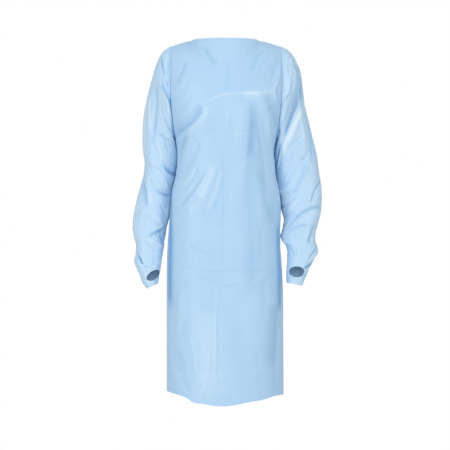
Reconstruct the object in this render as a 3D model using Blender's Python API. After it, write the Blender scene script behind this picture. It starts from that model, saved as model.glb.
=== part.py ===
"""A worn protective gown of thin film: front, two overlapping backs, two sleeves with
thumb holes, and waist ties.

Units are metres with +Z up. The front faces -Y and the left sleeve is at +X. The origin is
midway between the shoulder seams, at the height where the shoulders carry the gown. The tables
below are in millimetres and hold one row for each section or fold.
"""

from collections import namedtuple

import bmesh
import bpy
import numpy as np
from mathutils import Matrix

MM = 0.001
WALL = 2.0  # thickness of every cloth wall
SEAM_GAP = 0.3  # between the edges of two pieces that are sealed together
FILM_COLOUR = (0.47, 0.70, 0.90, 1.0)
FILM_ROUGHNESS = 0.42

# The cut, seen from the front: neck opening, shoulder seams and armholes
NECK_HALF = 107.0
NECK_SIDE_Z = 3.0
NECK_FRONT = {"deep": 75.0, "z": 0.0}
NECK_BACK = {"deep": 85.0, "z": -24.0}
SHOULDER_TIP_Z = -16.0
SHOULDER_DROP = 1.1  # how late along the shoulder seam its slope comes
UNDERARM_Z = -312.0
ARMHOLE_FRONT = 70.0
ARMHOLE_BACK = 66.0
NECK_SHARE = 0.375  # the share of a half panel's columns that end at the neckline
SHOULDER_ROUND = 70.0  # how far down the shoulder's rounding reaches
NECK_ROUND = 110.0  # how far down the slope from the neckline reaches
NECK_FALL = 1.6  # how fast that slope falls off
SHOULDER_FROM = 0.25  # the share of a half panel where neck changes into shoulder, and its spread
SHOULDER_SPREAD = 0.3
HEM_RISE = 1.3  # how late the hem rises from its middle to the side seams
HEM = {"front": -1142.0, "left": -1124.0, "right": -1113.0, "back": -1128.0}

# Back opening: each back passes the middle by this share of its half, one over the other
BACK_OVERLAP = 0.15
BACK_RAMP = 0.30  # where the outer back starts to rise over the inner one

# Grid: columns in a half panel, rows above and below the underarm, rings along a sleeve
NECK_COLUMNS = 5
SHOULDER_COLUMNS = 8
OVERLAP_COLUMNS = 2
UPPER_ROWS = 10
LOWER_ROWS = 22
ROWS_GROW = 1.25  # the rows below the underarm start close together and grow apart
ARMHOLE_RINGS = 4.0  # over so many rows of its table a sleeve eases from the armhole's shape
SLEEVE_RINGS = 20
SLEEVE_END_RINGS = 8

Table = namedtuple("Table", "at columns")


def table(names, rows):
    """A table with named columns. Its first column is what the others are looked up by."""
    values = np.array(rows, float).T
    return Table(values[0], dict(zip(names.split()[1:], values[1:])))


# Half widths and depths of the body from the middle, by distance below the origin
TORSO = table(
    "down left right front back square",
    [
        (-20, 176, 170, 70, 80, 2.2),
        (18, 180, 176, 90, 96, 2.2),
        (50, 194, 188, 104, 108, 2.2),
        (84, 202, 193, 115, 117, 2.2),
        (147, 203, 194, 131, 124, 2.25),
        (209, 194, 187, 135, 124, 2.3),
        (260, 181, 175, 133, 119, 2.3),
        (312, 165, 160, 130, 112, 2.3),
        (353, 157, 153, 128, 105, 2.3),
        (394, 160, 153.5, 127, 100, 2.35),
        (437, 163.5, 159, 127, 100, 2.4),
        (472, 171.5, 168, 128, 104, 2.4),
        (519, 178, 173.5, 131, 111, 2.45),
        (562, 178, 177, 133, 118, 2.45),
        (600, 176, 179.5, 135, 122, 2.45),
        (650, 176, 183, 137, 125, 2.45),
        (700, 180, 185, 139, 127, 2.45),
        (800, 185, 186, 142, 130, 2.4),
        (950, 186, 186, 146, 133, 2.35),
        (1115, 187, 186, 150, 136, 2.3),
        (1145, 187, 186, 151, 136, 2.3),
    ],
)

# Each sleeve ring by its outer and inner point seen from the front, and by its half depth and
# the place of its middle, forwards negative
RING_COLUMNS = "ring outer_x outer_z inner_x inner_z half_depth middle_y"
LEFT_RINGS = table(
    RING_COLUMNS,
    [
        (0, 180, -16, 165, -312, 68, 2),
        (1, 206, -31, 167.5, -317, 68, 2),
        (2, 229, -63, 164.5, -329, 68, 6),
        (3, 243, -100, 160.5, -346, 67, 13),
        (4, 250, -147, 159, -369, 66, 21),
        (5, 256, -197, 160.5, -394, 65, 28),
        (6, 267, -241, 163, -419, 64, 32),
        (7, 279, -291, 164.5, -447, 63, 34),
        (8, 290, -334, 168.8, -472, 63, 34),
        (9, 298, -375, 174, -497, 63, 32),
        (10, 303, -416, 178.2, -524, 63, 29),
        (11, 309, -453, 182.5, -544, 62, 25),
        (12, 311, -491, 189, -566, 61, 19),
        (13, 310, -522, 187, -587, 59, 11),
        (14, 306, -550, 182, -606, 57, 2),
        (15, 297, -581, 177.5, -619, 54, -8),
        (16, 289, -609, 181, -636, 50, -17),
        (17, 287, -636, 193, -653, 47, -25),
        (18, 293, -656, 197, -672, 44, -31),
        (19, 294, -674, 197, -691, 41, -37),
        (20, 282, -693, 196, -710, 39, -43),
        (21, 268, -718, 194, -731, 38, -48),
        (22, 256, -747, 193, -750, 37, -52),
        (23, 243, -777, 193, -768, 36, -55),
    ],
)
RIGHT_RINGS = table(
    RING_COLUMNS,
    [
        (0, -176, -16, -160, -312, 68, 2),
        (1, -202, -37, -161, -321, 68, 2),
        (2, -221, -75, -157, -334, 67, 6),
        (3, -236, -125, -154, -350, 66, 13),
        (4, -251, -178, -152.5, -369, 65, 21),
        (5, -262, -234, -153.5, -391, 63, 28),
        (6, -266, -291, -156.5, -414, 62, 32),
        (7, -266, -341, -160, -439, 61, 34),
        (8, -260, -384, -165.5, -464, 60, 34),
        (9, -262, -419, -170, -490, 60, 32),
        (10, -270, -453, -172.5, -518, 60, 29),
        (11, -281, -494, -176, -547, 60, 25),
        (12, -289, -531, -181, -572, 59, 19),
        (13, -294, -562, -186, -594, 57, 11),
        (14, -295, -594, -190.5, -616, 54, 2),
        (15, -291, -622, -194, -637, 51, -8),
        (16, -283, -650, -195, -658, 48, -17),
        (17, -283, -678, -198, -681, 45, -26),
        (18, -287, -702, -201, -700, 42, -33),
        (19, -280, -722, -203, -718, 40, -40),
        (20, -270, -743, -205, -736, 38, -46),
        (21, -262, -765, -208, -754, 37, -50),
        (22, -247, -787, -212, -771, 36, -54),
    ],
)
SLEEVE_END_RING = {"left": 18.0, "right": 17.5}  # where the end with the thumb hole starts

# The largest folds, each a straight ridge, or a trough where its height is negative. They fade
# out at their own ends and, by a share, a length or a count of rings, at the seams
FOLD_ENDS = 0.25
SIDE_FADE = 0.2
TOP_FADE = 40.0
ARMHOLE_FADE = 2.0
SLEEVE_EDGE_FADE = 0.6  # where a sleeve turns away, seen from the front
FOLD_COLUMNS = "fold x0 z0 x1 z1 half_width height"
FRONT_FOLDS = table(
    FOLD_COLUMNS,
    [
        (0, -84, -165, -160, -318, 26, -8),
        (1, -60, -185, -135, -420, 34, 7),
        (2, 86, -180, 76, -500, 34, -7),
        (3, 138, -200, 122, -620, 30, -8),
        (4, 102, -210, 108, -560, 26, 6),
        (5, 12, -395, -115, -640, 30, 5),
        (6, -38, -385, -150, -590, 28, -5),
        (7, -10, -700, -12, -1120, 26, 6),
        (8, 14, -880, 26, -1120, 22, -6),
        (9, -52, -960, -84, -1120, 24, -5),
        (10, 62, -900, 80, -1120, 34, 5),
        (11, -70, 5, -30, -70, 20, -4),
        (12, 118, -20, 62, -75, 20, -4),
    ],
)
BACK_FOLDS = table(
    FOLD_COLUMNS,
    [
        (0, 118, -90, 92, -400, 30, 7),
        (1, -112, -80, -88, -400, 28, 7),
        (2, 142, -470, 120, -840, 32, -7),
        (3, -138, -470, -124, -900, 34, -7),
        (4, 96, -480, 104, -1110, 34, 6),
        (5, -92, -480, -104, -1110, 32, 6),
    ],
)
LEFT_SLEEVE_FOLDS = table(
    FOLD_COLUMNS,
    [
        (0, 238, -160, 178, -312, 20, 7),
        (1, 252, -240, 200, -420, 24, -6),
        (2, 300, -440, 208, -520, 18, -7),
        (3, 296, -505, 206, -560, 18, 6),
        (4, 288, -560, 210, -595, 14, -6),
        (5, 262, -640, 220, -690, 14, 4),
    ],
)
RIGHT_SLEEVE_FOLDS = table(
    FOLD_COLUMNS,
    [
        (0, -200, -110, -165, -220, 16, -7),
        (1, -226, -120, -222, -300, 20, -6),
        (2, -250, -410, -176, -478, 20, 7),
        (3, -262, -430, -242, -540, 14, -6),
        (4, -235, -600, -188, -560, 16, 6),
        (5, -236, -615, -196, -650, 14, -5),
    ],
)

# Thumb holes in the sleeve ends: middle, half width and height, how far the oval leans from
# level, and how far its way in turns from straight back
ThumbHole = namedtuple("ThumbHole", "x y z half_width half_height lean turn")
LEFT_THUMB = ThumbHole(224, -48, -733, 24, 17, 0, 0)
RIGHT_THUMB = ThumbHole(-232, -48, -744, 25, 13.5, 30, 15)
THUMB_REACH = 60.0
THUMB_SEGMENTS = 20

# Waist ties on the back: the panel row they lie in, the share of it that they cover, and the
# panel columns where they start, near the side seam, and end, at the knot
TIE_ROW = 14
TIE_COVER = (0.1, 0.9)
TIE_START = 12.6
TIE_END = 0.6
TIE_OFF = 0.4  # what lies on a panel is this far off it
KNOT_HALF = (17.0, 8.0, 15.0)
KNOT_SEGMENTS = 14
KNOT_RINGS = 8
TAIL_FIRST_ROW = 15
TAIL_LENGTH_ROWS = {"left": 7, "right": 6}
TAIL_COLUMNS = {"left": (0.06, 0.94), "right": (-0.94, -0.06)}


def smooth(at, knots, values):
    """Cubic curve through a table's rows, with slopes taken from the rows on either side."""
    slope = np.gradient(values, knots)
    i = np.clip(np.searchsorted(knots, at) - 1, 0, len(knots) - 2)
    step = knots[i + 1] - knots[i]
    f = np.clip((at - knots[i]) / step, 0, 1)
    start = (1 + 2 * f) * (1 - f) ** 2 * values[i] + f * (1 - f) ** 2 * step * slope[i]
    end = f * f * (3 - 2 * f) * values[i + 1] - f * f * (1 - f) * step * slope[i + 1]
    return start + end


def column(source, name, at):
    return smooth(np.asarray(at, float), source.at, source.columns[name])


def ease(share):
    """0 before 0, 1 after 1, and a smooth step between."""
    share = np.clip(share, 0, 1)
    return share * share * (3 - 2 * share)


def unit(vectors):
    return vectors / np.maximum(np.linalg.norm(vectors, axis=-1, keepdims=True), 1e-9)


def half_width(z, side):
    return column(TORSO, "left" if side > 0 else "right", -z)


def half_depth(z, face):
    return column(TORSO, "front" if face > 0 else "back", -z)


def armhole_share(z):
    return np.clip((SHOULDER_TIP_Z - z) / (SHOULDER_TIP_Z - UNDERARM_Z), 0, 1)


def armhole_reach(z, face):
    """How far the armhole reaches forwards or back at height z: an oval seen from the side."""
    share = armhole_share(z)
    widest = ARMHOLE_FRONT if face > 0 else ARMHOLE_BACK
    return 2 * np.sqrt(share * (1 - share)) * widest


def body_at(q, z, side, face):
    """The body's outline at height z, a superellipse. q is 0 in the middle and 1 at the edge."""
    power = 2 / column(TORSO, "square", -z)
    deep = half_depth(z, face)
    edge = np.arcsin((armhole_reach(z, face) / deep) ** (1 / power))
    angle = np.pi / 2 * (1 - q) + edge * q * np.abs(q)
    across = np.cos(angle)
    wide = np.where(across * side > 0, half_width(z, 1), half_width(z, -1))
    x = side * np.sign(across) * wide * np.abs(across) ** power
    return x, -face * deep * np.sin(angle) ** power


def top_edge(q, side, face):
    """The neckline, a half oval, and then the shoulder seam, which bends down to its tip."""
    neck = NECK_FRONT if face > 0 else NECK_BACK
    turn = np.pi / 2 * np.clip(q / NECK_SHARE, -1, 1)
    along = np.clip((q - NECK_SHARE) / (1 - NECK_SHARE), 0, 1)
    tip = half_width(SHOULDER_TIP_Z, side)
    x = side * (NECK_HALF * np.sin(turn) + (tip - NECK_HALF) * along)
    y = -face * neck["deep"] * np.cos(turn)
    z = neck["z"] + (NECK_SIDE_Z - neck["z"]) * np.sin(turn) ** 2
    return x, y, z + (SHOULDER_TIP_Z - NECK_SIDE_Z) * along**SHOULDER_DROP


def hem_height(q, side, face):
    """The hem, lowest in the middle: it rises with how far out the point is."""
    middle = HEM["front" if face > 0 else "back"]
    out = np.sin(np.pi / 2 * np.abs(q)) ** HEM_RISE
    return middle + (HEM["left" if side > 0 else "right"] - middle) * out


def fold_height(x, z, folds):
    """Sum of the folds at a point seen from the front: a soft ridge that fades at both ends."""
    total = np.zeros_like(x)
    for x0, z0, x1, z1, half, height in zip(*folds.columns.values()):
        long = np.hypot(x1 - x0, z1 - z0)
        along = ((x - x0) * (x1 - x0) + (z - z0) * (z1 - z0)) / long**2
        across = ((x - x0) * (z1 - z0) - (z - z0) * (x1 - x0)) / long
        ends = ease(along / FOLD_ENDS) * ease((1 - along) / FOLD_ENDS)
        total += height * ends * np.clip(1 - (across / half) ** 2, 0, 1) ** 2
    return total


def normals_of(points, closed=False):
    """Unit normals of a grid from its neighbours. A closed grid's columns go right round."""
    around = np.gradient(points, axis=1)
    if closed:
        around = (np.roll(points, -1, 1) - np.roll(points, 1, 1)) / 2
    return unit(np.cross(around, np.gradient(points, axis=0)))


def half_columns():
    neck = np.linspace(0, NECK_SHARE, NECK_COLUMNS + 1)
    return np.concatenate([neck, np.linspace(NECK_SHARE, 1, SHOULDER_COLUMNS + 1)[1:]])


def panel_grid(q, side, face, folds):
    """Points of part of the body, rows from the top edge to the hem, columns at each q."""
    top_x, top_y, top_z = top_edge(q, side, face)
    upper = (1 - np.cos(np.pi * np.linspace(0, 1, UPPER_ROWS + 1)))[:, None] / 2
    lower = np.linspace(0, 1, LOWER_ROWS + 1)[1:, None] ** ROWS_GROW
    above = top_z + (UNDERARM_Z - top_z) * upper
    below = UNDERARM_Z + (hem_height(q, side, face) - UNDERARM_Z) * lower
    z = np.concatenate([above, below])
    x, y = body_at(q, z, side, face)
    start_x, start_y = body_at(q, top_z, side, face)
    # The top edge lies inside the outline, and the difference fades out further down
    outer = ease((np.abs(q) - SHOULDER_FROM) / SHOULDER_SPREAD)
    left = 1 - np.clip((top_z - z) / (NECK_ROUND + (SHOULDER_ROUND - NECK_ROUND) * outer), 0, 1)
    fade = (1 - outer) * left**NECK_FALL + outer * (1 - np.sqrt(1 - left**2))
    x = x + (top_x - start_x) * fade
    y = y + (top_y - start_y) * fade
    points = np.stack([x, y, z], axis=-1)
    seams = ease((1 - np.abs(q)) / SIDE_FADE) * ease((top_z - z) / TOP_FADE)
    outward = normals_of(points) * (-side * face)
    return points + outward * (fold_height(x, z, folds) * seams)[..., None]


def front_grid():
    q = half_columns()
    right = panel_grid(q[::-1], -1, 1, FRONT_FOLDS)
    left = panel_grid(q, 1, 1, FRONT_FOLDS)
    return np.concatenate([right[:, :-1], left], axis=1)


def back_grid(side, over):
    """A back half with its share past the middle. The outer one rises over the inner one."""
    past = -np.linspace(BACK_OVERLAP, 0, OVERLAP_COLUMNS + 1)[:-1]
    q = np.concatenate([past, half_columns()])
    points = panel_grid(q, side, -1, BACK_FOLDS)
    rise = over * ease((BACK_RAMP - q) / (BACK_RAMP - BACK_OVERLAP))
    return points + normals_of(points) * side * rise[None, :, None]


def armhole_loop(turns, side):
    """The armhole seam. turns run from the shoulder round the front to the underarm and back."""
    share = (1 - np.cos(turns)) / 2
    z = SHOULDER_TIP_Z + (UNDERARM_Z - SHOULDER_TIP_Z) * share
    one = np.ones_like(z)
    front = np.stack([*body_at(one, z, side, 1), z], axis=-1)
    back = np.stack([*body_at(one, z, side, -1), z], axis=-1)
    return np.where(np.sin(turns)[..., None] >= 0, front, back)


def sleeve_grid(rings, folds, side, split):
    """Points of a sleeve, ring by ring. It starts at the armhole seam and eases into its rings.

    The rings run to the split at even steps and then from it to the cuff's edge.
    """
    upper = np.linspace(0, split, SLEEVE_RINGS)
    at = np.concatenate([upper, np.linspace(split, rings.at[-1], SLEEVE_END_RINGS)[1:]])[:, None]
    turns = np.linspace(0, 2 * np.pi, 2 * UPPER_ROWS + 1)[None, :-1]
    outer_x, outer_z = column(rings, "outer_x", at), column(rings, "outer_z", at)
    inner_x, inner_z = column(rings, "inner_x", at), column(rings, "inner_z", at)
    swing = np.cos(turns)
    x = (outer_x + inner_x) / 2 + (outer_x - inner_x) / 2 * swing
    z = (outer_z + inner_z) / 2 + (outer_z - inner_z) / 2 * swing
    y = column(rings, "middle_y", at) - column(rings, "half_depth", at) * np.sin(turns)
    points = np.stack([x, y, z], axis=-1)
    seam = armhole_loop(turns[0], side)
    points += (seam - points[0]) * (1 - ease(at / ARMHOLE_RINGS))[..., None]
    visible = ease(np.abs(np.sin(turns)) / SLEEVE_EDGE_FADE) * ease(at / ARMHOLE_FADE)
    height = fold_height(points[..., 0], points[..., 2], folds) * visible
    return points + normals_of(points, closed=True) * (side * height)[..., None]


def share_normals(*edges):
    """Gives the edges that meet at a seam the same normals, so that their walls meet square."""
    common = unit(sum(edge.copy() for edge in edges))
    for edge in edges:
        edge[...] = common


def part_edge(points, axis, end):
    """Draws one edge of a grid back by half the seam gap."""
    grid = points if axis == 0 else points.swapaxes(0, 1)
    edge, inside = (0, 1) if end == 0 else (-1, -2)
    grid[edge] += unit(grid[inside] - grid[edge]) * SEAM_GAP / 2


def film(name):
    material = bpy.data.materials.new(name + "_film")
    material.use_nodes = True
    surface = material.node_tree.nodes["Principled BSDF"]
    surface.inputs["Base Color"].default_value = FILM_COLOUR
    surface.inputs["Roughness"].default_value = FILM_ROUGHNESS
    surface.inputs["Metallic"].default_value = 0.0
    return material


def add_object(name, mesh_builder):
    """Makes an object from a bmesh, closed and facing out."""
    mesh = bpy.data.meshes.new(name)
    mesh_builder.normal_update()
    bmesh.ops.recalc_face_normals(mesh_builder, faces=mesh_builder.faces)
    mesh_builder.to_mesh(mesh)
    mesh_builder.free()
    mesh.shade_smooth()
    mesh.materials.append(film(name))
    made = bpy.data.objects.new(name, mesh)
    bpy.context.scene.collection.objects.link(made)
    return made


def wall(name, points, normals, closed=False):
    """A cloth wall: the outer grid, the same grid moved inwards, and faces round its edges."""
    built = bmesh.new()
    layers = []
    for grid in (points, points - normals * WALL):
        layers.append([[built.verts.new(p * MM) for p in row] for row in grid])
    rows, columns = points.shape[:2]
    spans = columns if closed else columns - 1
    for layer, flip in zip(layers, (False, True)):
        for i in range(rows - 1):
            for j in range(spans):
                k = (j + 1) % columns
                quad = (layer[i][j], layer[i][k], layer[i + 1][k], layer[i + 1][j])
                built.faces.new(quad[::-1] if flip else quad)
    outer, inner = layers
    for i in (0, rows - 1):
        for j in range(spans):
            k = (j + 1) % columns
            built.faces.new((outer[i][j], outer[i][k], inner[i][k], inner[i][j]))
    for j in () if closed else (0, columns - 1):
        for i in range(rows - 1):
            built.faces.new((outer[i][j], outer[i + 1][j], inner[i + 1][j], inner[i][j]))
    return add_object(name, built)


def cut_thumb_hole(sleeve_end, hole):
    """Cuts an oval hole through the sleeve end's front wall."""
    built = bmesh.new()
    reach = THUMB_REACH * MM
    bmesh.ops.create_cone(
        built, cap_ends=True, segments=THUMB_SEGMENTS, radius1=1.0, radius2=1.0, depth=reach
    )
    size = Matrix.Diagonal((hole.half_width * MM, hole.half_height * MM, 1.0, 1.0))
    lean = Matrix.Rotation(np.radians(hole.lean), 4, "Z")
    lie = Matrix.Translation((0, -reach / 2, 0)) @ Matrix.Rotation(np.pi / 2, 4, "X")
    turn = Matrix.Rotation(np.radians(hole.turn), 4, "Z")
    place = Matrix.Translation((hole.x * MM, hole.y * MM, hole.z * MM))
    built.transform(place @ turn @ lie @ lean @ size)
    cutter = add_object(sleeve_end.name + "_thumb_cutter", built)
    cutter.hide_render = True
    cutter.display_type = "WIRE"
    cut = sleeve_end.modifiers.new("thumb_hole", "BOOLEAN")
    cut.operation = "DIFFERENCE"
    cut.solver = "EXACT"
    cut.object = cutter


def between(grid, rows, columns):
    """Points of a grid at fractional rows and columns, on its own flat facets."""
    low = np.clip(np.floor(columns).astype(int), 0, grid.shape[1] - 2)
    across = (columns - low)[None, :, None]
    along = grid[:, low] * (1 - across) + grid[:, low + 1] * across
    above = np.clip(np.floor(rows).astype(int), 0, grid.shape[0] - 2)
    down = (rows - above)[:, None, None]
    return along[above] * (1 - down) + along[above + 1] * down


def lay_on(panel, outward, rows, columns, over):
    """A strip's outer points and normals: the panel's own points, moved out past the strip."""
    facing = unit(between(outward, rows, columns))
    off = np.broadcast_to(over, columns.shape) + TIE_OFF + WALL
    return between(panel, rows, columns) + facing * off[None, :, None], facing


def add_tie(side, panel, outward):
    """One waist tie, from beside the side seam to the knot. It climbs onto the outer back."""
    middle = OVERLAP_COLUMNS
    inner = np.arange(1, int(TIE_START) + 1)[::-1]
    columns = middle + np.concatenate([[TIE_START], inner, [TIE_END]])
    rows = TIE_ROW + np.array(TIE_COVER)
    q = np.interp(columns - middle, np.arange(len(half_columns())), half_columns())
    lift = (WALL + SEAM_GAP) * ease((BACK_RAMP - q) / (BACK_RAMP - BACK_OVERLAP))
    over = lift if side == "right" else 0 * lift
    points, facing = lay_on(panel, outward, rows, columns, over)
    wall("tie_" + side, points, facing)


def add_tail(side, panel, outward):
    """A tie's free end, which hangs from the knot down the outer back."""
    rows = TAIL_FIRST_ROW + np.arange(TAIL_LENGTH_ROWS[side] + 1)
    columns = OVERLAP_COLUMNS + np.array(TAIL_COLUMNS[side])
    points, facing = lay_on(panel, outward, rows, columns, 0)
    wall("tie_end_" + side, points, facing)


def add_knot(panel):
    """The knot that the two ties meet in, a rounded lump on the outer back."""
    rows = TIE_ROW + np.array([0.5])
    seat = between(panel, rows, np.array([float(OVERLAP_COLUMNS)]))[0, 0]
    built = bmesh.new()
    bmesh.ops.create_uvsphere(built, u_segments=KNOT_SEGMENTS, v_segments=KNOT_RINGS, radius=1)
    size = Matrix.Diagonal((*(half * MM for half in KNOT_HALF), 1.0))
    out = seat[1] + TIE_OFF + KNOT_HALF[1]
    built.transform(Matrix.Translation((0, out * MM, seat[2] * MM)) @ size)
    add_object("tie_knot", built)


def main():
    for old in list(bpy.data.objects):
        bpy.data.objects.remove(old)
    grids = {
        "front": front_grid(),
        "back_left": back_grid(1, WALL + SEAM_GAP),
        "back_right": back_grid(-1, 0.0),
        "sleeve_left": sleeve_grid(LEFT_RINGS, LEFT_SLEEVE_FOLDS, 1, SLEEVE_END_RING["left"]),
        "sleeve_right": sleeve_grid(RIGHT_RINGS, RIGHT_SLEEVE_FOLDS, -1, SLEEVE_END_RING["right"]),
    }
    turned = {"front": -1, "back_left": 1, "back_right": -1, "sleeve_left": 1, "sleeve_right": -1}
    normals = {
        name: normals_of(grid, name.startswith("sleeve")) * turned[name]
        for name, grid in grids.items()
    }

    # Side, shoulder and armhole seams: front and back columns count from the middle outwards
    under = UPPER_ROWS
    middle = NECK_COLUMNS + SHOULDER_COLUMNS
    for side, outwards in (("left", slice(middle, None)), ("right", slice(middle, None, -1))):
        front = normals["front"][:, outwards]
        back = normals["back_" + side][:, OVERLAP_COLUMNS:]
        sleeve = normals["sleeve_" + side]
        share_normals(front[0, NECK_COLUMNS:-1], back[0, NECK_COLUMNS:-1])
        share_normals(front[under + 1 :, -1], back[under + 1 :, -1])
        share_normals(front[1:under, -1], sleeve[0, 1:under])
        share_normals(back[1:under, -1], sleeve[0, :under:-1])
        share_normals(front[0, -1], back[0, -1], sleeve[0, 0])
        share_normals(front[under, -1], back[under, -1], sleeve[0, under])

    # The ties lie on the backs' own points, so they are made before the edges are drawn back
    for side in ("left", "right"):
        back = "back_" + side
        add_tie(side, grids[back], normals[back])
        add_tail(side, grids["back_left"], normals["back_left"])
    add_knot(grids["back_left"])

    for name in ("front", "back_left", "back_right"):
        part_edge(grids[name], 0, 0)
        part_edge(grids[name], 1, -1)
    part_edge(grids["front"], 1, 0)
    for name in ("front", "back_left", "back_right"):
        wall(name, grids[name], normals[name])

    for side, hole in (("left", LEFT_THUMB), ("right", RIGHT_THUMB)):
        grid, outward = grids["sleeve_" + side], normals["sleeve_" + side]
        upper, end = grid[:SLEEVE_RINGS].copy(), grid[SLEEVE_RINGS - 1 :].copy()
        part_edge(upper, 0, 0)
        part_edge(upper, 0, -1)
        part_edge(end, 0, 0)
        wall("sleeve_" + side, upper, outward[:SLEEVE_RINGS], closed=True)
        made = wall("cuff_" + side, end, outward[SLEEVE_RINGS - 1 :], closed=True)
        cut_thumb_hole(made, hole)


main()
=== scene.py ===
import bpy
import numpy as np
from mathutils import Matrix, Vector


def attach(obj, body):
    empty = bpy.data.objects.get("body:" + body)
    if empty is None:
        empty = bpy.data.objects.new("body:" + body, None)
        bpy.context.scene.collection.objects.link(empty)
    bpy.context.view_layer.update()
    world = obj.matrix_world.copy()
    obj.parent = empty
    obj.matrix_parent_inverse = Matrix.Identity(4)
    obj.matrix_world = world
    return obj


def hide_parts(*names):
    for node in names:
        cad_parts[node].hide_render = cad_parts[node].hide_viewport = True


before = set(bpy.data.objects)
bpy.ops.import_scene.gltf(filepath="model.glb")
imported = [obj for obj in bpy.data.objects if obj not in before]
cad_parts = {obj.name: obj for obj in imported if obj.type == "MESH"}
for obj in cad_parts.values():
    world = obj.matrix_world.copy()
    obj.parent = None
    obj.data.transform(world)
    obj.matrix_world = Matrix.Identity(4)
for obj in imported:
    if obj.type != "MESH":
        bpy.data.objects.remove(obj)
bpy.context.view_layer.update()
mm = 0.001

studio = {
    "cameraAt": (0, -3.5, -0.587),
    "lookAt": (0, 0, -0.587),
    "lens": 87.5,
    "white": (1.0, 1.0, 1.0),
    "skyColour": (0.92, 0.97, 1.0),
    "skyStrength": 0.57,
    "floorHeight": -1.46,
    "floorHalf": (0.75, 0.68),
    "floorColour": (0.86, 0.87, 0.88),
    "floorFleck": 0.04,  # how much lighter the board's flecks are
    "fleckScale": 60.0,
    "floorRoughness": 0.75,
    # each light: place, point that it faces, width and height of its panel, watts, colour
    "lights": {
        "softboxLeft": ((-1.8, -2.4, -0.3), (0, 0, -0.6), (1.0, 2.2), 24, (1, 0.98, 0.97)),
        "softboxRight": ((2.0, -2.2, -0.1), (0, 0, -0.6), (0.9, 1.6), 14, (0.96, 0.99, 1)),
        "frontPanel": ((0.1, -3.6, -0.3), (0, 0, -0.6), (1.2, 1.6), 10, (1, 1, 1)),
        "topPanel": ((0.0, -0.9, 1.5), (0, 0, -0.3), (1.6, 1.2), 5, (1, 1, 1)),
        "backRim": ((0.0, 2.2, 0.4), (0, 0, -0.5), (2.2, 1.8), 14, (1, 1, 1)),
    },
}


def makeCamera(plan):
    # a camera at its place, turned so that its view axis meets the point it looks at
    camera = bpy.data.objects.new("camera", bpy.data.cameras.new("camera"))
    bpy.context.scene.collection.objects.link(camera)
    camera.data.sensor_width = 36
    camera.data.lens = plan["lens"]
    camera.location = plan["cameraAt"]
    forward = Vector(plan["lookAt"]) - Vector(plan["cameraAt"])
    camera.rotation_euler = forward.to_track_quat("-Z", "Y").to_euler()
    bpy.context.scene.camera = camera


def makeLights(plan):
    # one rectangular panel for each row, turned so that it faces its point
    for name, (place, target, size, watts, colour) in plan["lights"].items():
        panel = bpy.data.lights.new(name, "AREA")
        panel.shape = "RECTANGLE"
        panel.size, panel.size_y = size
        panel.energy = watts
        panel.color = colour
        lamp = bpy.data.objects.new(name, panel)
        lamp.location = place
        aim = Vector(target) - Vector(place)
        lamp.rotation_euler = aim.to_track_quat("-Z", "Y").to_euler()
        bpy.context.scene.collection.objects.link(lamp)


class Value:
    # a socket whose operators add Math nodes

    def __init__(self, tree, socket):
        self.tree, self.socket = tree, socket

    def math(self, operation, first, second):
        node = self.tree.nodes.new("ShaderNodeMath")
        node.operation = operation
        for slot, given in zip(node.inputs, (first, second)):
            if isinstance(given, Value):
                self.tree.links.new(given.socket, slot)
            else:
                slot.default_value = given
        return Value(self.tree, node.outputs[0])

    def __add__(self, other):
        return self.math("ADD", self, other)

    def __radd__(self, other):
        return self.math("ADD", other, self)

    def __sub__(self, other):
        return self.math("SUBTRACT", self, other)

    def __rsub__(self, other):
        return self.math("SUBTRACT", other, self)

    def __mul__(self, other):
        return self.math("MULTIPLY", self, other)

    def __rmul__(self, other):
        return self.math("MULTIPLY", other, self)

    def __pow__(self, power):
        return self.math("POWER", self, power)


class Shader:
    # a material's node tree; every node comes from node()

    def __init__(self, name):
        self.material = bpy.data.materials.new(name)
        self.material.use_nodes = True
        self.tree = self.material.node_tree
        self.tree.nodes.clear()

    def node(self, kind, settings=None, output=0, **sockets):
        made = self.tree.nodes.new("ShaderNode" + kind)
        for name, given in (settings or {}).items():
            if name == "stops":
                for index, (at, colour) in enumerate(given):
                    stops = made.color_ramp.elements
                    stop = stops[index] if index < 2 else stops.new(at)
                    stop.position, stop.color = at, colour
            else:
                setattr(made, name, given)
        for name, given in sockets.items():
            slot = made.inputs[int(name[1:]) if name[0] == "_" else name.replace("_", " ")]
            if isinstance(given, Value):
                self.tree.links.new(given.socket, slot)
            else:
                slot.default_value = given
        return Value(self.tree, made.outputs[output])

    def mixColour(self, share, first, second):
        return self.node("Mix", {"data_type": "RGBA"}, output=2, _0=share, _6=first, _7=second)

    def finish(self, surface):
        out = self.tree.nodes.new("ShaderNodeOutputMaterial")
        self.tree.links.new(surface.socket, out.inputs["Surface"])
        return self.material


def makeFloor(plan):
    # a rectangle of four corners at floor height, finished as matt painted board
    shader = Shader("studioFloor")
    place = shader.node("TexCoord", output=3)
    flecks = shader.node("TexNoise", Vector=place, Scale=plan["fleckScale"], Detail=3.0)
    light = tuple(plan["floorFleck"] + c for c in plan["floorColour"])
    colour = shader.mixColour(flecks, (*plan["floorColour"], 1), (*light, 1))
    surface = shader.node("BsdfPrincipled", Base_Color=colour, Roughness=plan["floorRoughness"])
    x, y = plan["floorHalf"]
    z = plan["floorHeight"]
    corners = [(-x, -y, z), (x, -y, z), (x, y, z), (-x, y, z)]
    mesh = bpy.data.meshes.new("studioFloor")
    mesh.from_pydata(corners, [], [(0, 1, 2, 3)])
    mesh.materials.append(shader.finish(surface))
    floor = bpy.data.objects.new("studioFloor", mesh)
    bpy.context.scene.collection.objects.link(floor)


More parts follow.
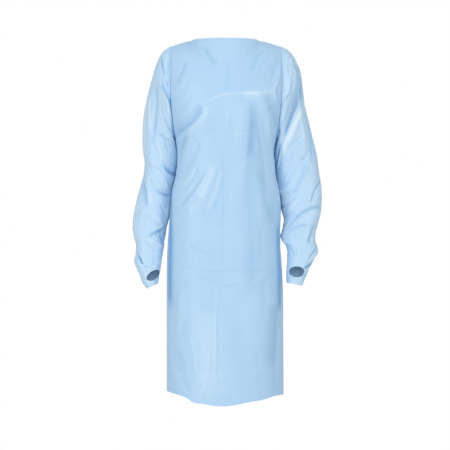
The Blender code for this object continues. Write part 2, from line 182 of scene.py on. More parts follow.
def makeSky(plan):
    # the camera sees plain white, and the gown is lit by a softer, dimmer sky
    world = bpy.data.worlds.new("studioSky")
    bpy.context.scene.world = world
    world.use_nodes = True
    nodes, links = world.node_tree.nodes, world.node_tree.links
    nodes.clear()
    backdrop, sky = nodes.new("ShaderNodeBackground"), nodes.new("ShaderNodeBackground")
    backdrop.inputs["Color"].default_value = (*plan["white"], 1)
    backdrop.inputs["Strength"].default_value = 1.0
    sky.inputs["Color"].default_value = (*plan["skyColour"], 1)
    sky.inputs["Strength"].default_value = plan["skyStrength"]
    path, mix = nodes.new("ShaderNodeLightPath"), nodes.new("ShaderNodeMixShader")
    out = nodes.new("ShaderNodeOutputWorld")
    links.new(path.outputs["Is Camera Ray"], mix.inputs[0])
    links.new(sky.outputs[0], mix.inputs[1])
    links.new(backdrop.outputs[0], mix.inputs[2])
    links.new(mix.outputs[0], out.inputs["Surface"])
    bpy.context.scene.view_settings.view_transform = "Standard"


makeCamera(studio)
makeLights(studio)
makeSky(studio)
makeFloor(studio)
print("studio ready")

filmLook = {
    "paintedShade": (0.10, 0.34, 0.64),  # painted shade, in deep troughs and where painted light is under 0
    "deep": (0.29, 0.55, 0.86),  # the film is clouded between deep and pale; fold crests are also painted paler and troughs deeper, as shade
    "pale": (0.52, 0.73, 0.93),
    "crest": (0.65, 0.81, 0.96),  # painted highlight on fold crests; cut edges are paled to it too
    "paintedHighlight": (0.80, 0.92, 0.99),  # painted highlight, where painted light is over 0
    "seam": (0.36, 0.62, 0.90),
    "seamShare": 0.35,
    "paleness": 0.62,
    # painted light: the fold's share of paleness, paler on crests and deeper in troughs
    "foldPaleness": 0.35,
    "cloud": {"scale": 7.0, "share": 0.5, "depth": 0.002},
    "mottle": {"scale": 70.0, "share": 0.16},
    "shadeBelow": (0.8, 2.4),  # painted shade takes over in troughs by the first less the second times the fold and the crest's painted highlight by the second times the fold less the first
    "crestAbove": (1.1, 2.2),  # and crest by the second times the fold less the first
    "crestShare": 0.5,
    "rimShare": 0.8,
    "roughness": 0.43,
    "seamRoughness": 0.08,
    "gloss": 0.42,
    "coat": 0.06,
    "coatRoughness": 0.3,
    "crumple": {"scale": 16.0, "smooth": 0.6, "depth": 0.0016},
    "emboss": {"scale": 900.0, "depth": 0.00005},
    "sealDots": {"scale": 420.0, "depth": 0.0006},
    "bumpStrength": 0.55,
}


def makeFilm(look):
    # colour: paleness plus shares of cloud, mottle and fold mixes deep with pale; the fold's share
    # is painted light, paler on crests and deeper in troughs. Then seams take their own colour,
    # painted shade under 0 and troughs mix in the painted shade colour, painted highlight over 0
    # mixes in the highlight colour, and crests and cut edges take the crest's painted highlight.
    # Bump: the depths of crumples, emboss, clouds and the dots of the seals, added up.
    shader = Shader("coatedFilm")
    place = shader.node("TexCoord", output=3)
    fold, paintedLight, seal, rim = [
        shader.node("Attribute", {"attribute_name": label}, output=2)
        for label in ("fold", "paintedLight", "seal", "rim")
    ]
    clouds, specks = look["cloud"], look["mottle"]
    crumple, dotted = look["crumple"], look["sealDots"]
    cloud = shader.node("TexNoise", Vector=place, Scale=clouds["scale"], Detail=3.0, Roughness=0.55)
    mottle = shader.node("TexNoise", Vector=place, Scale=specks["scale"], Detail=2.0)
    facets = shader.node(
        "TexVoronoi",
        {"feature": "SMOOTH_F1"},
        Vector=place,
        Scale=crumple["scale"],
        Smoothness=crumple["smooth"],
    )
    emboss = shader.node("TexNoise", Vector=place, Scale=look["emboss"]["scale"], Detail=1.0)
    paleness = (
        look["paleness"]
        + (cloud - 0.5) * clouds["share"]
        + (mottle - 0.5) * specks["share"]
        + fold * look["foldPaleness"]
    )
    body = shader.mixColour(paleness, (*look["deep"], 1), (*look["pale"], 1))
    sealed = shader.mixColour(seal * look["seamShare"], body, (*look["seam"], 1))
    lightPainted = shader.mixColour(0 - paintedLight, sealed, (*look["paintedShade"], 1))
    below, steep = look["shadeBelow"]
    troughShaded = shader.mixColour(below - fold * steep, lightPainted, (*look["paintedShade"], 1))
    highlighted = shader.mixColour(paintedLight, troughShaded, (*look["paintedHighlight"], 1))
    above, steep = look["crestAbove"]
    crest = (fold * steep - above) * look["crestShare"] + rim * look["rimShare"]
    crested = shader.mixColour(crest, highlighted, (*look["crest"], 1))
    dots = shader.node("TexVoronoi", {"feature": "F1"}, Vector=place, Scale=dotted["scale"])
    height = (
        facets * crumple["depth"]
        + emboss * look["emboss"]["depth"]
        + cloud * clouds["depth"]
        + dots * seal * dotted["depth"]
    )
    normal = shader.node("Bump", Height=height, Strength=look["bumpStrength"], Distance=1.0)
    rough = look["roughness"] + (mottle - 0.5) * specks["share"] + seal * look["seamRoughness"]
    surface = shader.node(
        "BsdfPrincipled",
        Base_Color=crested,
        Roughness=rough,
        Normal=normal,
        IOR=1.5,
        Specular_IOR_Level=look["gloss"],
        Coat_Weight=look["coat"],
        Coat_Roughness=look["coatRoughness"],
    )
    return shader.finish(surface)


film = makeFilm(filmLook)
print("film finish ready")


def ease(share):
    # 0 below 0, 1 above 1, and 3s^2 - 2s^3 between
    share = np.clip(share, 0, 1)
    return share * share * (3 - 2 * share)


def unit(vectors):
    # each vector divided by its length
    return vectors / np.maximum(np.linalg.norm(vectors, axis=-1, keepdims=True), 1e-9)


def smoothTable(rows, at):
    # cubic curve through a table's rows, looked up by its first column; the slope at a row is
    # that of its neighbours. The last axis holds the other columns.
    rows = np.array(rows, float)
    knots, values = rows[:, 0], rows[:, 1:]
    slope = np.gradient(values, knots, axis=0)
    at = np.asarray(at, float)
    i = np.clip(np.searchsorted(knots, at) - 1, 0, len(knots) - 2)
    step = (knots[i + 1] - knots[i])[..., None]
    f = np.clip((at[..., None] - knots[i][..., None]) / step, 0, 1)
    start = (1 + 2 * f) * (1 - f) ** 2 * values[i] + f * (1 - f) ** 2 * step * slope[i]
    end = f * f * (3 - 2 * f) * values[i + 1] - f * f * (1 - f) * step * slope[i + 1]
    return start + end


def gridNormals(points, closed=False):
    # cross product of the steps along the row and down the column
    around = np.gradient(points, axis=1)
    if closed:
        around = (np.roll(points, -1, 1) - np.roll(points, 1, 1)) / 2
    return unit(np.cross(around, np.gradient(points, axis=0)))


def creaseHeight(u, v, creases, power=2, endShare=0.3):
    # Each crease is a line over the cloth: height, width on its photo-left or lower side, width on
    # the other, then its points. Height * (1 - distance / width)^power, eased in at both ends.
    total = np.zeros_like(u)
    for height, leftWidth, rightWidth, *line in creases:
        line = np.array(line, float).reshape(-1, 2)
        reach = max(leftWidth, rightWidth)
        low, high = line.min(0) - reach, line.max(0) + reach
        near = (u > low[0]) & (u < high[0]) & (v > low[1]) & (v < high[1])
        if not near.any():
            continue
        pointU, pointV = u[near], v[near]
        steps = np.diff(line, axis=0)
        lengths = np.hypot(steps[:, 0], steps[:, 1])
        starts = np.concatenate([[0], np.cumsum(lengths)])
        best = np.full(pointU.shape, 1e9)
        cross, along = np.zeros_like(best), np.zeros_like(best)
        for origin, (du, dv), long, start in zip(line, steps / lengths[:, None], lengths, starts):
            t = np.clip((pointU - origin[0]) * du + (pointV - origin[1]) * dv, 0, long)
            offU, offV = pointU - origin[0] - t * du, pointV - origin[1] - t * dv
            away = np.hypot(offU, offV)
            closer = away < best
            best = np.where(closer, away, best)
            cross = np.where(closer, offU * dv - offV * du, cross)
            along = np.where(closer, start + t, along)
        width = np.where(cross > 0, leftWidth, rightWidth)
        share = along / starts[-1]
        ends = ease(share / endShare) * ease((1 - share) / endShare)
        total[near] += height * ends * np.clip(1 - best / width, 0, 1) ** power
    return total


def paintLight(u, v, paintedLightLines):
    # creaseHeight with straight flanks, in tenths: painted shade under 0, painted highlight over 0
    return creaseHeight(u, v, paintedLightLines, power=1, endShare=0.14) / 10


photoView = {
    "middle": (225, 225),  # the pixel that the camera looks at
    "height": -587.0,  # of what that pixel shows
    "away": 3500.0,  # from the camera to the plane of the gown's middle
    "pixel": 3.2,  # size of a pixel in that plane
    "faces": -0.05,  # cloth is in sight where its normal's y is below this
    "nearest": 6,  # grid points that a place is the mean of
    "least": 0.05,  # pixels added to each of their distances
}


def photoPixels(points):
    # where points show in the photo: offsets from what its middle shows, shrunk with distance
    shrunk = photoView["away"] / (photoView["away"] + points[..., 1])
    across, down = photoView["middle"]
    x = across + points[..., 0] * shrunk / photoView["pixel"]
    y = down + (photoView["height"] - points[..., 2]) * shrunk / photoView["pixel"]
    return np.stack([x, y], axis=-1)


def layOnCloth(rows, base, outward, u, v, rise=1.0):
    # Creases whose points were picked on the photo, with those points in cloth coordinates: each
    # is the mean of the nearest grid points in sight, weighed by 1 / (distance + least), to the
    # millimetre. Height * rise, to a tenth.
    seen = outward[..., 1] < photoView["faces"]
    pixels, seenU, seenV = photoPixels(base)[seen], u[seen], v[seen]
    laid = []
    for height, leftWidth, rightWidth, *line in rows:
        points = []
        for x, y in zip(line[::2], line[1::2]):
            away = np.hypot(pixels[:, 0] - x, pixels[:, 1] - y)
            near = np.argsort(away)[: photoView["nearest"]]
            weight = 1 / (away[near] + photoView["least"])
            points.append(int(round((seenU[near] * weight).sum() / weight.sum())))
            points.append(int(round((seenV[near] * weight).sum() / weight.sum())))
        laid.append((round(height * rise, 1), leftWidth, rightWidth, *points))
    return laid


def crinkles(seed, count, box, long, wide, height, lean=(-90, 90)):
    # short creases strewn over a box of cloth: place, length, width, height and lean each drawn
    # evenly between two values
    draw = np.random.default_rng(seed)
    lowU, highU, lowV, highV = box
    rows = []
    for _ in range(count):
        u, v = draw.uniform(lowU, highU), draw.uniform(lowV, highV)
        turn, half = np.radians(draw.uniform(*lean)), draw.uniform(*long) / 2
        du, dv = np.cos(turn) * half, np.sin(turn) * half
        bend = draw.uniform(-0.25, 0.25) * half
        rise = draw.uniform(*height) * draw.choice([-1, 1])
        line = (u - du, v - dv, u - bend * np.sin(turn), v + bend * np.cos(turn), u + du, v + dv)
        rows.append((rise, draw.uniform(*wide), draw.uniform(*wide), *line))
    return rows


def filmShell(name, points, outward, thickness, closed=False, paint=None, keep=None):
    # A closed shell: the outer grid, the same grid moved inwards by the thickness, and quads round
    # every open edge. keep says which grid quads exist, so a hole is where it is False.
    rows, columns = points.shape[:2]
    index = np.arange(rows * columns).reshape(rows, columns)
    nextColumn = np.roll(index, -1, axis=1) if closed else index[:, 1:]
    here = index if closed else index[:, :-1]
    quads = np.stack([here[:-1], nextColumn[:-1], nextColumn[1:], here[1:]], axis=-1)
    quads = quads.reshape(-1, 4) if keep is None else quads[keep]
    facing = gridNormals(points, closed)
    if (facing * outward).sum() < 0:
        quads = quads[:, ::-1]
    used, quads = np.unique(quads, return_inverse=True)
    quads = quads.reshape(-1, 4)
    outer = points.reshape(-1, 3)[used]
    inner = outer - outward.reshape(-1, 3)[used] * thickness
    count = len(used)
    starts, ends = quads.ravel(), np.roll(quads, -1, axis=1).ravel()
    key = np.minimum(starts, ends) * count + np.maximum(starts, ends)
    _, back, seen = np.unique(key, return_inverse=True, return_counts=True)
    single = seen[back] == 1
    a, b = starts[single], ends[single]
    rimQuads = np.stack([b, a, a + count, b + count], axis=-1)
    faces = np.concatenate([quads, quads[:, ::-1] + count, rimQuads])
    mesh = bpy.data.meshes.new(name)
    mesh.vertices.add(2 * count)
    places = (np.concatenate([outer, inner]) * mm).astype(np.float32)
    mesh.vertices.foreach_set("co", places.ravel())
    mesh.loops.add(faces.size)
    mesh.loops.foreach_set("vertex_index", faces.astype(np.int32).ravel())
    mesh.polygons.add(len(faces))
    mesh.polygons.foreach_set("loop_start", np.arange(0, faces.size, 4, dtype=np.int32))
    mesh.update(calc_edges=True)
    mesh.polygons.foreach_set("use_smooth", np.ones(len(faces), bool))
    # the rim's edges stay sharp, so that its shading doesn't spill over the film
    edgeOf = np.empty(faces.size, np.int32)
    mesh.loops.foreach_get("edge_index", edgeOf)
    onRim = np.repeat(np.arange(len(faces)) >= 2 * len(quads), 4)
    sharp = np.zeros(len(mesh.edges), bool)
    sharp[np.intersect1d(edgeOf[onRim], edgeOf[~onRim])] = True
    mesh.attributes.new("sharp_edge", "BOOLEAN", "EDGE").data.foreach_set("value", sharp)
    for label in ("fold", "paintedLight", "seal", "rim"):
        field = (paint or {}).get(label)
        field = np.zeros(points.shape[:2]) if field is None else field
        values = np.tile(field.ravel()[used], 2).astype(np.float32)
        mesh.attributes.new(label, "FLOAT", "POINT").data.foreach_set("value", values)
    mesh.materials.append(film)
    mesh.validate()
    made = bpy.data.objects.new(name, mesh)
    bpy.context.scene.collection.objects.link(made)
    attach(made, "root")
    return made


gownBody = {
    "filmThickness": 0.6,
    "neckHalf": 107.0,
    "neckSideZ": 3.0,
    "neckFront": (75.0, 0.0),  # depth of the half oval and height at its middle
    "neckBack": (85.0, -24.0),
    "shoulderTipZ": -16.0,
    "shoulderDrop": 1.1,
    "underarmZ": -312.0,
    "armholeFront": 70.0,
    "armholeBack": 66.0,
    "neckShare": 0.375,
    "shoulderRound": 70.0,
    "neckRound": 110.0,
    "neckFall": 1.6,
    "shoulderFrom": 0.25,
    "shoulderSpread": 0.3,
    "hemRise": 1.3,
    "hemFront": -1142.0,
    "hemLeft": -1124.0,
    "hemRight": -1113.0,
    "hemBack": -1128.0,
    "halfColumns": 75,
    "upperRows": 100,
    "lowerRows": 200,
    "seamFade": 14.0,  # creases die out this close to a seam
    "seam": {"dip": 0.7, "dipWidth": 7, "sealAt": 2.5, "sealHalf": 5, "clear": 10, "fade": 40},
    "foldFull": 10,  # a crease this high gets full painted shade in a trough and full painted highlight on a crest
    "rim": {"width": 4, "share": 0.4},
    # down, half width left and right, half depth front and back, squareness
    "torso": [
        (-20, 176, 170, 70, 80, 2.2),
        (18, 180, 176, 90, 96, 2.2),
        (50, 194, 188, 104, 108, 2.2),
        (84, 202, 193, 115, 117, 2.2),
        (147, 203, 194, 131, 124, 2.25),
        (209, 194, 187, 135, 124, 2.3),
        (260, 181, 175, 133, 119, 2.3),
        (312, 165, 160, 130, 112, 2.3),
        (353, 157, 153, 128, 105, 2.3),
        (394, 160, 153.5, 127, 100, 2.35),
        (437, 163.5, 159, 127, 100, 2.4),
        (472, 171.5, 168, 128, 104, 2.4),
        (519, 178, 173.5, 131, 111, 2.45),
        (562, 178, 177, 133, 118, 2.45),
        (600, 176, 179.5, 135, 122, 2.45),
        (650, 176, 183, 137, 125, 2.45),
        (700, 180, 185, 139, 127, 2.45),
        (800, 185, 186, 142, 130, 2.4),
        (950, 186, 186, 146, 133, 2.35),
        (1115, 187, 186, 150, 136, 2.3),
        (1145, 187, 186, 151, 136, 2.3),
    ],
}


def bodyAt(q, z, side, face):
    # superellipse round the body at height z: q is 0 in the middle and 1 at the side seam, where
    # above the underarm it stops at the armhole, an oval seen from the side
    left, right, front, back, square = np.moveaxis(smoothTable(gownBody["torso"], -z), -1, 0)
    power = 2 / square
    deep = front if face > 0 else back
    tip, under = gownBody["shoulderTipZ"], gownBody["underarmZ"]
    share = np.clip((tip - z) / (tip - under), 0, 1)
    widest = gownBody["armholeFront"] if face > 0 else gownBody["armholeBack"]
    reach = 2 * np.sqrt(share * (1 - share)) * widest
    edge = np.arcsin((reach / deep) ** (1 / power))
    angle = np.pi / 2 * (1 - q) + edge * q * np.abs(q)
    across = np.cos(angle)
    wide = np.where(across * side > 0, left, right)
    x = side * np.sign(across) * wide * np.abs(across) ** power
    return x, -face * deep * np.sin(angle) ** power


def topEdge(q, side, face):
    # half oval of the neckline, then the shoulder seam, which bends down to its tip
    deep, middleZ = gownBody["neckFront"] if face > 0 else gownBody["neckBack"]
    share, tipZ = gownBody["neckShare"], gownBody["shoulderTipZ"]
    turn = np.pi / 2 * np.clip(q / share, -1, 1)
    along = np.clip((q - share) / (1 - share), 0, 1)
    left, right = smoothTable(gownBody["torso"], -tipZ)[:2]
    tip = left if side > 0 else right
    x = side * (gownBody["neckHalf"] * np.sin(turn) + (tip - gownBody["neckHalf"]) * along)
    y = -face * deep * np.cos(turn)
    z = middleZ + (gownBody["neckSideZ"] - middleZ) * np.sin(turn) ** 2
    return x, y, z + (tipZ - gownBody["neckSideZ"]) * along ** gownBody["shoulderDrop"]


def hemHeight(q, side, face):
    # the hem, lowest in the middle, rising with how far out the point is
    middle = gownBody["hemFront" if face > 0 else "hemBack"]
    end = gownBody["hemLeft" if side > 0 else "hemRight"]
    return middle + (end - middle) * np.sin(np.pi / 2 * np.abs(q)) ** gownBody["hemRise"]


def panelGrid(q, side, face, hemWave=None):
    # rows from the top edge to the hem, crowded near the shoulder and the underarm; the top edge
    # lies inside the body's outline, and the difference fades out further down
    topX, topY, topZ = topEdge(q, side, face)
    under = gownBody["underarmZ"]
    upper = (1 - np.cos(np.pi * np.linspace(0, 1, gownBody["upperRows"] + 1)))[:, None] / 2
    lower = np.linspace(0, 1, gownBody["lowerRows"] + 1)[1:, None]
    hem = hemHeight(q, side, face)
    if hemWave is not None:
        hem = hem + smoothTable(hemWave, side * q)[..., 0]
    z = np.concatenate([topZ + (under - topZ) * upper, under + (hem - under) * lower])
    x, y = bodyAt(q, z, side, face)
    startX, startY = bodyAt(q, topZ, side, face)
    outer = ease((np.abs(q) - gownBody["shoulderFrom"]) / gownBody["shoulderSpread"])
    roundness = gownBody["neckRound"] + (gownBody["shoulderRound"] - gownBody["neckRound"]) * outer
    left = 1 - np.clip((topZ - z) / roundness, 0, 1)
    fade = (1 - outer) * left ** gownBody["neckFall"] + outer * (1 - np.sqrt(1 - left**2))
    return np.stack([x + (topX - startX) * fade, y + (topY - startY) * fade, z], axis=-1)


def acrossCloth(points, middle):
    # distance along each row from the middle column, less than 0 towards photo left
    step = np.linalg.norm(np.diff(points, axis=1), axis=-1)
    total = np.concatenate([np.zeros((len(points), 1)), np.cumsum(step, axis=1)], axis=1)
    return total - total[:, middle : middle + 1]


def seamDip(z, gap):
    # dip * (1 - gap / width)^2 beside a seam; it fades out down to just above the underarm
    seam = gownBody["seam"]
    high = ease((z - gownBody["underarmZ"] - seam["clear"]) / seam["fade"])
    return seam["dip"] * high * np.clip(1 - gap / seam["dipWidth"], 0, 1) ** 2


def sealPaint(gap):
    # 1 along the middle of the sealed strip beside a seam, down to 0 at half its width
    seam = gownBody["seam"]
    return np.clip(1 - np.abs(gap - seam["sealAt"]) / seam["sealHalf"], 0, 1)


def foldPaint(height, middle=0.5):
    # the crease's height over that of a full fold, halved, around the middle; the film paints shade
    # and highlight from it
    return np.clip(height / gownBody["foldFull"], -1, 1) * 0.5 + middle


def creasePanel(base, outward, u, sideGap, creases, drop=0.0, paintedLightLines=()):
    # base + outward * (creases, which fade towards the seams, - dip + drop); the painted shade and
    # highlight lines and the seals change only the colour
    z = base[..., 2]
    topGap = base[:1, :, 2] - z
    height = creaseHeight(u, z, creases)
    height = height * ease(sideGap / gownBody["seamFade"]) * ease(topGap / gownBody["seamFade"])
    dip = seamDip(z, np.minimum(sideGap, topGap))
    points = base + outward * (height - dip + drop)[..., None]
    paint = {
        "fold": foldPaint(height),
        "paintedLight": paintLight(u, z, paintedLightLines),
        "seal": sealPaint(sideGap),
        "rim": np.clip(1 - topGap / gownBody["rim"]["width"], 0, 1) * gownBody["rim"]["share"],
    }
    return points, paint


def sealedPanel(name, points, outward, paint, node):
    # a film shell in a panel's place, its normals taken again from the creased points
    normals = gridNormals(points)
    outward = normals * np.sign((normals * outward).sum())
    made = filmShell(name, points, outward, gownBody["filmThickness"], paint=paint)
    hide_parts(node)


gownFront = {
    "flat": (0.56, 1.16),
    "area": 0.555,
    # seed, count, box of cloth, range of length, of width and of height
    "crinkles": (11, 90, (-240, 240, -1100, -40), (60, 200), (10, 30), (0.3, 1.0)),
    # signed share of the half panel, then how far the hem departs from its plain curve
    "hemWave": [
        (-1, -3), (-0.82, 2), (-0.6, 6.8), (-0.42, 6.5), (-0.31, -2.5), (-0.2, -0.5), (-0.07, -1.5),
        (0.06, 1), (0.2, 5.9), (0.39, 6.6), (0.56, 9.5), (0.78, 4), (1, -3),
    ],
    "creaseRise": 1.3,  # what the creases' heights are multiplied by
    # height, width on the photo-left or lower side, width on the other, then points picked on the
    # photo: pixels across and down
    "creases": [
        # neck drag lines and the centre crease
        (-1.5, 8, 14, 203, 45, 208, 55, 215, 64),
        (1.0, 16, 12, 212, 44, 220, 56, 226, 64),
        (-1.0, 12, 8, 228, 60, 228, 76, 228, 92),
        (-1.1, 6, 9, 266, 45, 256, 56, 247, 63),
        (-0.9, 6, 7, 241, 45, 243, 58, 246, 66),
        (-1.4, 14, 20, 272, 48, 263, 64, 258, 78),
        (-1.3, 12, 18, 282, 54, 275, 68, 270, 86),
        # shoulder on the photo's left
        (1.6, 8, 14, 173, 50, 174, 60, 173, 70),
        (-1.6, 10, 18, 186, 60, 180, 73, 175, 84),
        (-1.3, 10, 18, 192, 74, 183, 87, 174, 96),
        (-1.2, 14, 20, 194, 90, 184, 104, 176, 110),
        # chest: packing crease with its flat highlight
        (1.5, 10, 12, 202, 106, 213, 99, 225, 93.5),
        (1.5, 7, 8, 222, 94, 243, 93, 262, 92.3, 275, 91.5),
        (1.4, 20, 14, 244, 97, 251, 96, 260, 97),
        # long diagonal on the photo's left
        (2.2, 26, 22, 198, 103, 187, 113, 176, 122),
        (-3.8, 34, 9, 201, 97, 200.8, 112, 192, 122.5, 184, 130, 174, 140),
        (1.6, 10, 30, 203, 104, 203, 116, 192, 129),
        (-3.2, 14, 13, 187, 132, 183, 143, 180.5, 153, 177.5, 168),
        (2.0, 16, 26, 191, 134, 187, 150, 181, 170),
        (-2.2, 22, 20, 201, 138, 196, 151, 188, 164, 181, 176),
        (-0.9, 5, 6, 214, 136, 213.6, 144, 213, 150),
        # short centre crease
        (1.5, 4, 5, 227.4, 110, 227, 120, 226.4, 133),
        (-0.8, 6, 8, 230, 112, 230, 126, 229, 140),
        # on the photo's right: a ridge and the long trough beside it
        (2.0, 30, 24, 252, 97, 250.5, 114, 248.5, 138, 244, 164, 240, 186, 238, 206),
        (-2.6, 56, 24, 256, 100, 259, 124, 261, 140, 264, 156, 266, 172, 268, 187, 271, 198),
        (1.2, 14, 16, 241, 100, 237, 116, 232, 134),
        (2.2, 26, 14, 266, 108, 268, 120, 270, 133, 272, 150, 273, 168),
        (-2.4, 8, 8, 267, 111, 271, 109, 276, 106),
        (3.0, 22, 11, 282, 58, 279, 78, 274.3, 91, 276.5, 104, 277, 112),
        (-1.8, 26, 22, 262, 184, 266, 200, 270, 214, 273, 228),
        (0.8, 24, 18, 258, 196, 262, 212, 268, 232),
        # waist fan
        (2.0, 20, 22, 196, 164, 190, 176, 180, 190),
        (-3.2, 24, 11, 206, 166, 199, 179, 191, 191, 178, 205),
        (2.2, 10, 12, 209, 170, 200, 186, 190, 199, 180, 210),
        (-3.0, 18, 11, 214, 168, 209, 183, 202, 196, 189, 213),
        (2.8, 16, 20, 217, 172, 212, 190, 205, 205, 197, 220),
        (-3.2, 22, 9, 224, 168, 222.5, 185, 219, 200, 212, 218),
        (2.2, 16, 40, 234, 164, 231.5, 196, 229, 228),
        (-1.5, 20, 26, 246, 190, 244, 214, 242, 244),
        (-0.8, 14, 16, 270, 212, 262, 232, 260, 262),
        # below the waist: slanting creases and the long packing crease
        (-1.3, 6, 7, 179, 239, 190, 247, 201, 253, 211, 257),
        (1.2, 7, 8, 190, 240, 202, 248.5, 214, 256),
        (-1.0, 6, 8, 172, 262, 186, 268, 200, 269),
        (-1.4, 9, 6, 170, 268, 190, 270.5, 215, 271.5, 245, 271.5, 279, 270.5),
        (-1.2, 9, 8, 191, 274, 206, 280, 217, 287),
        (1.2, 8, 9, 221, 286, 237, 282, 249, 276),
        # skirt: centre ridges and the folds that reach the hem
        (1.7, 10, 5, 217.3, 282, 216.8, 300, 216.2, 320, 215.8, 340, 215.2, 362, 214, 386),
        (-1.5, 5, 5, 213.4, 330, 212.3, 350, 211.8, 366, 209, 382),
        (1.7, 14, 5, 211.4, 342, 210.4, 360, 208.6, 378, 203, 393, 198, 406),
        (-1.8, 7, 6, 218.6, 334, 218.8, 344, 219.4, 356),
        (-2.0, 6, 11, 218, 358, 218.2, 374, 219.6, 387, 223, 408),
        (2.2, 12, 8, 221, 366, 224, 384, 229, 406),
        (-1.8, 28, 30, 176, 344, 179.5, 368, 184, 385, 192, 402),
        (1.8, 20, 20, 190, 330, 194, 356, 199, 386),
        (-1.4, 18, 18, 199, 340, 200, 364, 203, 384),
        (-2.2, 50, 15, 279, 322, 276.5, 348, 275.8, 370, 277.5, 398),
        (1.4, 36, 34, 246, 296, 250, 344, 254, 404),
        (-1.8, 30, 24, 262, 276, 266, 300, 262, 330),
        (2.0, 26, 30, 181, 286, 180, 318, 175, 340),
    ],
    # painted shade (under 0) and painted highlight (over 0) along lines, with no height; laid out
    # as the creases are
    "paintedLightLines": [
        (5, 20, 20, 276, 172, 277.4, 186, 279, 204),
        (4, 16, 16, 175.6, 168, 173.4, 184, 171.6, 196),
        (-8, 16, 30, 170.8, 190, 170.4, 240, 169.2, 312),
        (-7, 28, 16, 278.8, 218, 279.2, 262, 279.8, 316),
        (4, 5, 6, 206, 103, 214, 98.6, 225, 94, 243, 93, 262, 92.3, 276, 91.5),
        (3.6, 20, 6, 242, 93.4, 251, 93, 261, 92.6),
        (-2.4, 8, 34, 263, 96, 270, 110, 276, 130),
        (-1.6, 4, 5, 223.5, 140, 222.5, 180, 222, 220, 221.6, 262, 221, 284),
        (1.3, 4, 4, 228, 134, 238, 134, 249, 134),
        (-1.6, 4, 4, 228, 58, 228, 76, 228, 93),
        (-2.4, 28, 4, 200.4, 102, 200.6, 112, 192, 122.5, 184, 130, 176, 137),
        (2.4, 4, 24, 204, 104, 204, 114, 196, 124, 187, 132),
        (-2.6, 12, 14, 187, 134, 182, 148, 178.6, 164),
        (2.4, 12, 30, 212, 160, 206, 178, 196, 198),
        (-2.4, 7, 30, 250.6, 100, 250, 120, 248.5, 138, 246, 162),
        (-2.0, 30, 56, 251, 96, 250, 130, 249, 170, 250, 210, 251, 250, 250, 300),
        (3.0, 9, 12, 214, 165, 208, 182, 199, 200, 188, 216),
        (2.8, 9, 12, 222, 169, 216, 190, 207, 212),
        (-2.6, 5, 8, 209, 166, 202, 180, 192, 196, 180, 208),
        (-2.4, 5, 8, 218, 168, 213, 185, 204, 205),
        (-2.2, 6, 10, 200, 166, 194, 178, 184, 192),
        (-1.4, 3, 2, 225.8, 108, 226, 122, 225.8, 132),
        (1.6, 2, 3, 227, 108, 227, 120, 226.8, 131),
        (1.6, 10, 20, 243, 100, 240, 116, 236, 134, 232, 156),
        (1.8, 12, 24, 265, 112, 267, 140, 270, 165, 274, 188),
        (-2.2, 18, 24, 259, 168, 264, 190, 270, 212, 272, 226),
        (-2.0, 8, 16, 203, 46, 208, 56, 216, 66),
        (-1.8, 12, 16, 187, 60, 181, 74, 176, 86),
        (-1.6, 10, 16, 262, 50, 256, 60, 250, 72),
        (2.0, 60, 80, 208, 306, 208, 352, 211, 404),
        (2.4, 3, 4, 216, 284, 215, 320, 214.4, 360, 213.6, 390),
        (-2.2, 4, 3, 218.4, 300, 217.6, 340, 218, 372),
        (-2.4, 60, 20, 276, 300, 275, 330, 274, 370),
    ],
}

columns = np.linspace(0, 1, gownBody["halfColumns"] + 1)
rightHalf = panelGrid(columns[::-1], -1, 1, gownFront["hemWave"])
leftHalf = panelGrid(columns, 1, 1, gownFront["hemWave"])
frontBase = np.concatenate([rightHalf[:, :-1], leftHalf], axis=1)
frontOut = -gridNormals(frontBase)
frontU = acrossCloth(frontBase, gownBody["halfColumns"])
frontGap = np.minimum(frontU - frontU[:, :1], frontU[:, -1:] - frontU)
frontCloth = (frontBase, frontOut, frontU, frontBase[..., 2])
frontCreases = layOnCloth(gownFront["creases"], *frontCloth, gownFront["creaseRise"])
frontCreases += crinkles(*gownFront["crinkles"])
frontPaintedLight = layOnCloth(gownFront["paintedLightLines"], *frontCloth)
frontPoints, frontPaint = creasePanel(
    frontBase, frontOut, frontU, frontGap, frontCreases, paintedLightLines=frontPaintedLight
)
sealedPanel(
    "filmFront", frontPoints, frontOut, frontPaint, "front"
)
print("front panel ready")

